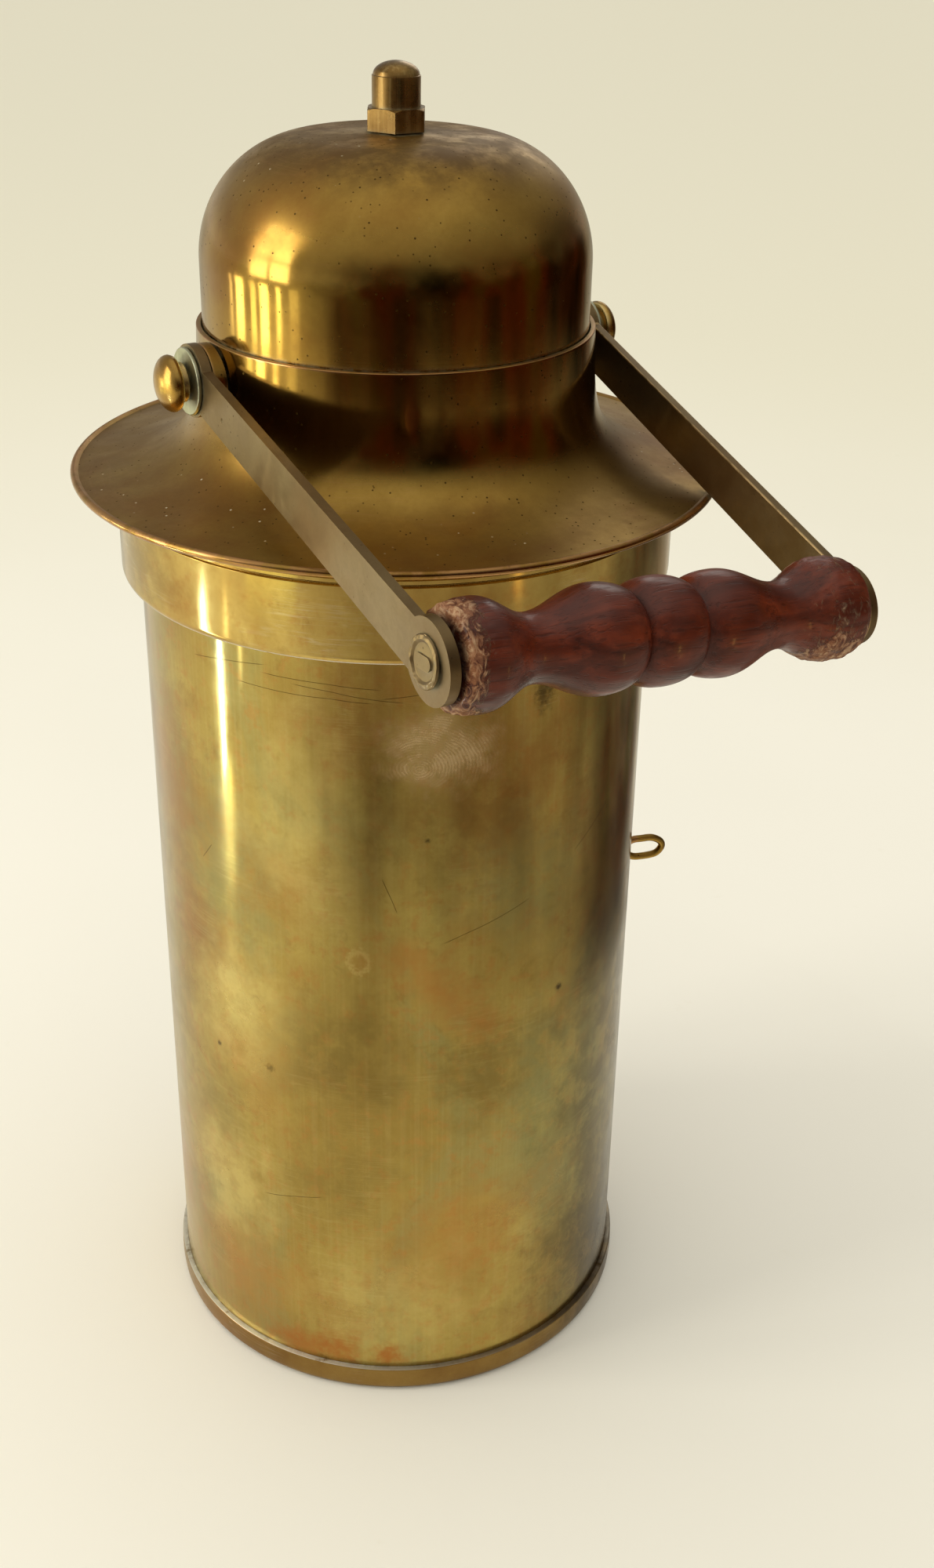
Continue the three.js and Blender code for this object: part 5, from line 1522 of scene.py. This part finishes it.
hip = BURNER_FOOT + 5
shell = [
    (COLLAR_BORE, BURNER_FOOT), (COLLAR_R, BURNER_FOOT, 0.5), (BURNER_R, hip, 1.5), (BURNER_R, BURNER_TOP),
    (BURNER_R - 1, BURNER_TOP), (BURNER_R - 1, hip + 0.5), (COLLAR_R - 0.5, BURNER_FOOT + 1),
    (COLLAR_BORE, BURNER_FOOT + 1),
]
burner_hole = rod(BURNER_HOLES_R, BURNER_R - OVERRUN, BURNER_R + OVERRUN, 24)
hole_turns = [BURNER_TURN + (i + 0.5) / BURNER_HOLES * TAU for i in range(BURNER_HOLES)]
burner_cuts = [radial(burner_hole, turn, BURNER_HOLES_Z) for turn in hole_turns]
burner_cuts.append(winder_line(rod(WINDER_R + FIT, 0, BURNER_R + OVERRUN, 24)))
piece("burner_body_pressed", hoop(shell), BURNER, "burner_body", cuts=burner_cuts)

gallery_top = GALLERY_Z + GALLERY_H
gallery = [
    (BURNER_R + FIT, GALLERY_Z), (GALLERY_R, GALLERY_Z, 0.5), (GALLERY_R, gallery_top),
    (GALLERY_R - SHEET, gallery_top), (GALLERY_R - SHEET, GALLERY_Z + SHEET, 0.3),
    (BURNER_R + FIT, GALLERY_Z + SHEET),
]
made = to_object("gallery_pressed", hoop(gallery))
prongs = []
for i in range(PRONGS):
    centre = (i + 0.5) / PRONGS * TAU + BURNER_TURN
    prongs.append(arc_strip(
        GALLERY_R - SHEET + 0.25, GALLERY_R - 0.25, centre - PRONG_HALF, centre + PRONG_HALF, gallery_top - 1,
        GALLERY_Z + PRONG_TOP, 3))
combine(made, prongs, "UNION", crossing=True)
dress(made, BURNER, "gallery")

spreader_foot = BURNER_TOP + FIT
spreader_side = spreader_foot + SPREADER_SIDE
spreader_top = spreader_side + SPREADER_RISE
thin = 0.8
outer = ellipse_quarter(SPREADER_R, spreader_side, 0, spreader_top, 20)
inner = ellipse_quarter(SPREADER_R - thin, spreader_side, 0, spreader_top - thin, 16)
spreader = [(SPREADER_R - thin, spreader_foot), (SPREADER_R, spreader_foot), *outer, *inner[::-1]]
slot = moved(box(15.6, 5.8, spreader_foot - OVERRUN, spreader_side + 20), turn_z(BURNER_TURN))
piece("flame_spreader_pressed", lathe(spreader, MID), BURNER, "flame_spreader", cuts=[slot])


def chimney():
    foot, waist, bulge, neck, top = 123.5, 131, 147, 184, 200
    foot_r, waist_r, bulge_r, top_r, wall = 22.4, 21.4, 25, 14.5, 1.4
    swell, taper = bulge_r - waist_r, top_r - bulge_r
    outer = [(foot_r, foot), (waist_r, waist)]
    outer += [(waist_r + swell * ease(i / 12), waist + (bulge - waist) * i / 12) for i in range(1, 13)]
    outer += [(bulge_r + taper * ease(i / 20), bulge + (neck - bulge) * i / 20) for i in range(1, 21)]
    outer += [(top_r, top)]
    return hoop([*outer, *[(r - wall, z) for r, z in outer[::-1]]], MID, 0.5)


piece("glass_chimney_blown", chimney(), CHIMNEY, "glass_chimney")

# Stage: one wide pale floor
FLOOR_HALF = 9000
FLOOR_Z = -0.15


def floor_material():
    s = Shader("pale_floor")
    drift = s.step(s.cloud(2.2, detail=3), 0.35, 0.65)
    fleck = s.step(s.cloud(60, detail=5, rough=0.7), 0.66, 0.8, 0, 0.25)
    near = s.blend(drift, srgb(250, 247, 238), srgb(247, 244, 234))
    # Painted light: the floor is paler near the lamp and darker and yellower farther off.
    colour = s.blend(s.step(s.distance((0, 0, 0)), 0.25, 1.1), near, srgb(243, 239, 220))
    colour = s.blend(fleck, colour, srgb(232, 226, 206))
    s.set(colour=colour, rough=0.55, gloss=0.15)
    return s.material


corners = [(x * FLOOR_HALF, y * FLOOR_HALF, FLOOR_Z) for x, y in ((-1, -1), (1, -1), (1, 1), (-1, 1))]
floor = to_object("floor", (corners, [(0, 1, 2, 3)], [0]))
floor.data.materials.append(floor_material())

# Camera: placed as the photograph's, in the lamp's frame. Its yaw is from +Y towards +X.
PHOTO_FOCUS = 2346.345
PHOTO_LONG = 2000
SENSOR = 36
LAMP_TURN = math.radians(27.9)
AWAY = 0.411674
HIGH = 0.36768
PITCH = 0.491112961
YAW = 0.0430470862
ROLL = 0.0192050074

look = Vector((math.sin(YAW) * math.cos(PITCH), math.cos(YAW) * math.cos(PITCH), -math.sin(PITCH)))
level = look.cross(Vector((0, 0, 1))).normalized()
upright = level.cross(look)
right = level * math.cos(ROLL) + upright * math.sin(ROLL)
above = upright * math.cos(ROLL) - level * math.sin(ROLL)
camera_data = bpy.data.cameras.new("camera")
camera = bpy.data.objects.new("camera", camera_data)
bpy.context.scene.collection.objects.link(camera)
camera_data.sensor_width = SENSOR
camera_data.lens = PHOTO_FOCUS / PHOTO_LONG * SENSOR
camera_data.clip_start = 0.02
camera_data.clip_end = 60
axes = Matrix((right, above, -look)).transposed().to_4x4()
camera.matrix_world = turn_z(-LAMP_TURN) @ shift(y=-AWAY, z=HIGH) @ axes
bpy.context.scene.camera = camera

# Light: a pale room, brighter on the window side. Slim strips show only in reflections
WARM = srgb(255, 251, 238)
WINDOW_SIDE = math.radians(166)
GLOW_SIDE = math.radians(195)
STRIP_AWAY = 0.30
STRIPS = [
    # azimuth, distance, foot, top, width, glow, colour
    (165, STRIP_AWAY, 0.045, 0.116, 0.008, 46.0, srgb(200, 226, 255)),
    (166, STRIP_AWAY, 0.0, 0.045, 0.026, 3.2, srgb(250, 255, 222)),
    (176, STRIP_AWAY, 0.085, 0.118, 0.006, 4.0, srgb(255, 254, 236)),
    (196, STRIP_AWAY, 0.122, 0.150, 0.105, 0.75, srgb(214, 222, 110)),
    (280, 0.19, 0.194, 0.214, 0.006, 5.0, srgb(255, 200, 110)),
    (283, 0.19, 0.172, 0.186, 0.008, 1.6, srgb(255, 214, 140)),
]
UPPER_ROW = [
    # azimuth, width, glow
    (139, 0.012, 3.0), (147, 0.034, 7.0), (158, 0.020, 3.5), (166, 0.030, 8.0), (176, 0.014, 5.0),
    (186, 0.030, 1.0),
]
LOWER_ROW = [
    (137, 0.020, 2.2), (146, 0.005, 4.0), (154, 0.007, 7.0), (165, 0.004, 3.0), (178, 0.044, 1.3),
]
for azimuth, width, glow in UPPER_ROW:
    STRIPS.append((azimuth, STRIP_AWAY, 0.196, 0.240, width, glow, srgb(255, 253, 214)))
for azimuth, width, glow in LOWER_ROW:
    STRIPS.append((azimuth, STRIP_AWAY, 0.150, 0.184, width, glow, srgb(232, 255, 170)))


def sky():
    """A world that is paler near the ground, on the window side and straight above."""
    world = bpy.data.worlds.new("studio")
    bpy.context.scene.world = world
    world.use_nodes = True
    n = Nodes(world.node_tree)
    place = n.add("ShaderNodeTexCoord").outputs["Generated"]
    glow_side = (math.cos(GLOW_SIDE), math.sin(GLOW_SIDE), 0.1)
    toward = n.step(n.vector("DOT_PRODUCT", place, glow_side, "Value"), -0.75, 0.85, 0.34, 0.58)
    height = n.up(place)
    strength = n.between(n.step(height, 0.03, 0.2), 0.84, toward)
    strength = n.between(n.step(height, 0.72, 0.97), strength, 0.8)
    ground = n.tree.nodes["Background"]
    n.feed(ground.inputs["Color"], WARM)
    n.feed(ground.inputs["Strength"], strength)


def window(name, azimuth, place, size, glow, colour):
    """A rectangular light that faces the lamp. Place is (distance, height), size is (width, height)."""
    data = bpy.data.lights.new(name, "AREA")
    data.shape = "RECTANGLE"
    data.size, data.size_y = size
    data.energy = glow * math.pi * size[0] * size[1]
    data.color = colour[:3]
    lamp = bpy.data.objects.new(name, data)
    bpy.context.scene.collection.objects.link(lamp)
    lamp.location = (place[0] * math.cos(azimuth), place[0] * math.sin(azimuth), place[1])
    lamp.rotation_euler = (TAU / 4, 0, azimuth + TAU / 4)
    lamp.visible_camera = False
    return lamp


sky()
for column in (-0.5, 0.5):
    for row in (-1, 0, 1):
        name = f"window_light_{column > 0:d}{row + 1}"
        window(name, WINDOW_SIDE + column * 0.26, (1.2, 0.62 + row * 0.3), (0.27, 0.27), 5.2, WARM)
shoulder = window("shoulder_light", math.radians(46), (1.1, 0.75), (0.5, 0.5), 1.5, srgb(255, 253, 246))
shoulder.visible_diffuse = False
ceiling = window("ceiling_light", 0, (0, 6), (40, 40), 0.36, srgb(255, 252, 242))
ceiling.rotation_euler = (0, 0, 0)
ceiling.visible_glossy = False
for number, (azimuth, distance, foot, top, width, glow, colour) in enumerate(STRIPS):
    place, size = (distance, (foot + top) / 2), (width, top - foot)
    strip = window(f"strip_{number}", math.radians(azimuth), place, size, glow, colour)
    strip.visible_diffuse = False


# The unlit side of the room as painted dark reflections: a soft-edged dark screen that only reflections see.
# Its cover is (azimuth, share) times (height, share), and at least the far side's share below the brim.
SCREEN_R = 200
SCREEN_TURN = [(182, 0), (214, 0.8), (240, 1), (364, 1), (384, 0.6), (420, 0.42), (462, 0.42), (480, 0)]
SCREEN_RISE = [
    (0, 0.45), (50, 0.5), (100, 0.55), (140, 0.5), (170, 0.5), (188, 0.6), (214, 0.66), (226, 0.92),
    (270, 0.95), (310, 0.78), (350, 0.5), (400, 0.25), (500, 0),
]
SCREEN_FAR = [(290, 0), (340, 0.75)]
SCREEN_FAR_TOP = 218


def screen_cover(azimuth, height):
    turn = np.interp(azimuth, *zip(*SCREEN_TURN))
    rise = np.interp(height, *zip(*SCREEN_RISE))
    if height < SCREEN_FAR_TOP:
        rise = max(rise, np.interp(azimuth, *zip(*SCREEN_FAR)))
    return float(turn * rise)


def dark_screen():
    columns = np.arange(SCREEN_TURN[0][0], SCREEN_TURN[-1][0] + 1, 2)
    rows = np.arange(0, SCREEN_RISE[-1][0] + 1, 10)
    turns = [math.radians(a) for a in columns]
    points = [(SCREEN_R * math.cos(turn), SCREEN_R * math.sin(turn), z) for turn in turns for z in rows]
    cover = [screen_cover(a, z) for a in columns for z in rows]
    high = len(rows)
    starts = [c * high + r for c in range(len(columns) - 1) for r in range(high - 1)]
    faces = [(i, i + high, i + high + 1, i + 1) for i in starts]
    screen = to_object("dark_screen", (points, faces, cover))
    s = Shader("painted_dark_reflections")
    drift = s.grain((12, 12, 7), 3, 0.6, 0.3)
    tones = [srgb(20, 14, 6), srgb(58, 34, 12), srgb(86, 40, 18), srgb(74, 62, 20)]
    uneven = s.times(s.minus(s.cloud(11, detail=4, rough=0.6), 0.5), 0.7)
    # The screen's cover is carried in the mesh's wear layer.
    share = s.step(s.plus(s.mark_of("wear"), uneven), 0.05, 0.95)
    colour = s.ramp(drift, list(zip((0.36, 0.47, 0.56, 0.66), tones)))
    s.set(colour=colour, rough=1.0, gloss=0.0, alpha=share)
    screen.data.materials.append(s.material)
    for kind in ("camera", "diffuse", "transmission", "shadow", "volume_scatter"):
        setattr(screen, f"visible_{kind}", False)


dark_screen()
bpy.context.scene.view_settings.view_transform = "Standard"
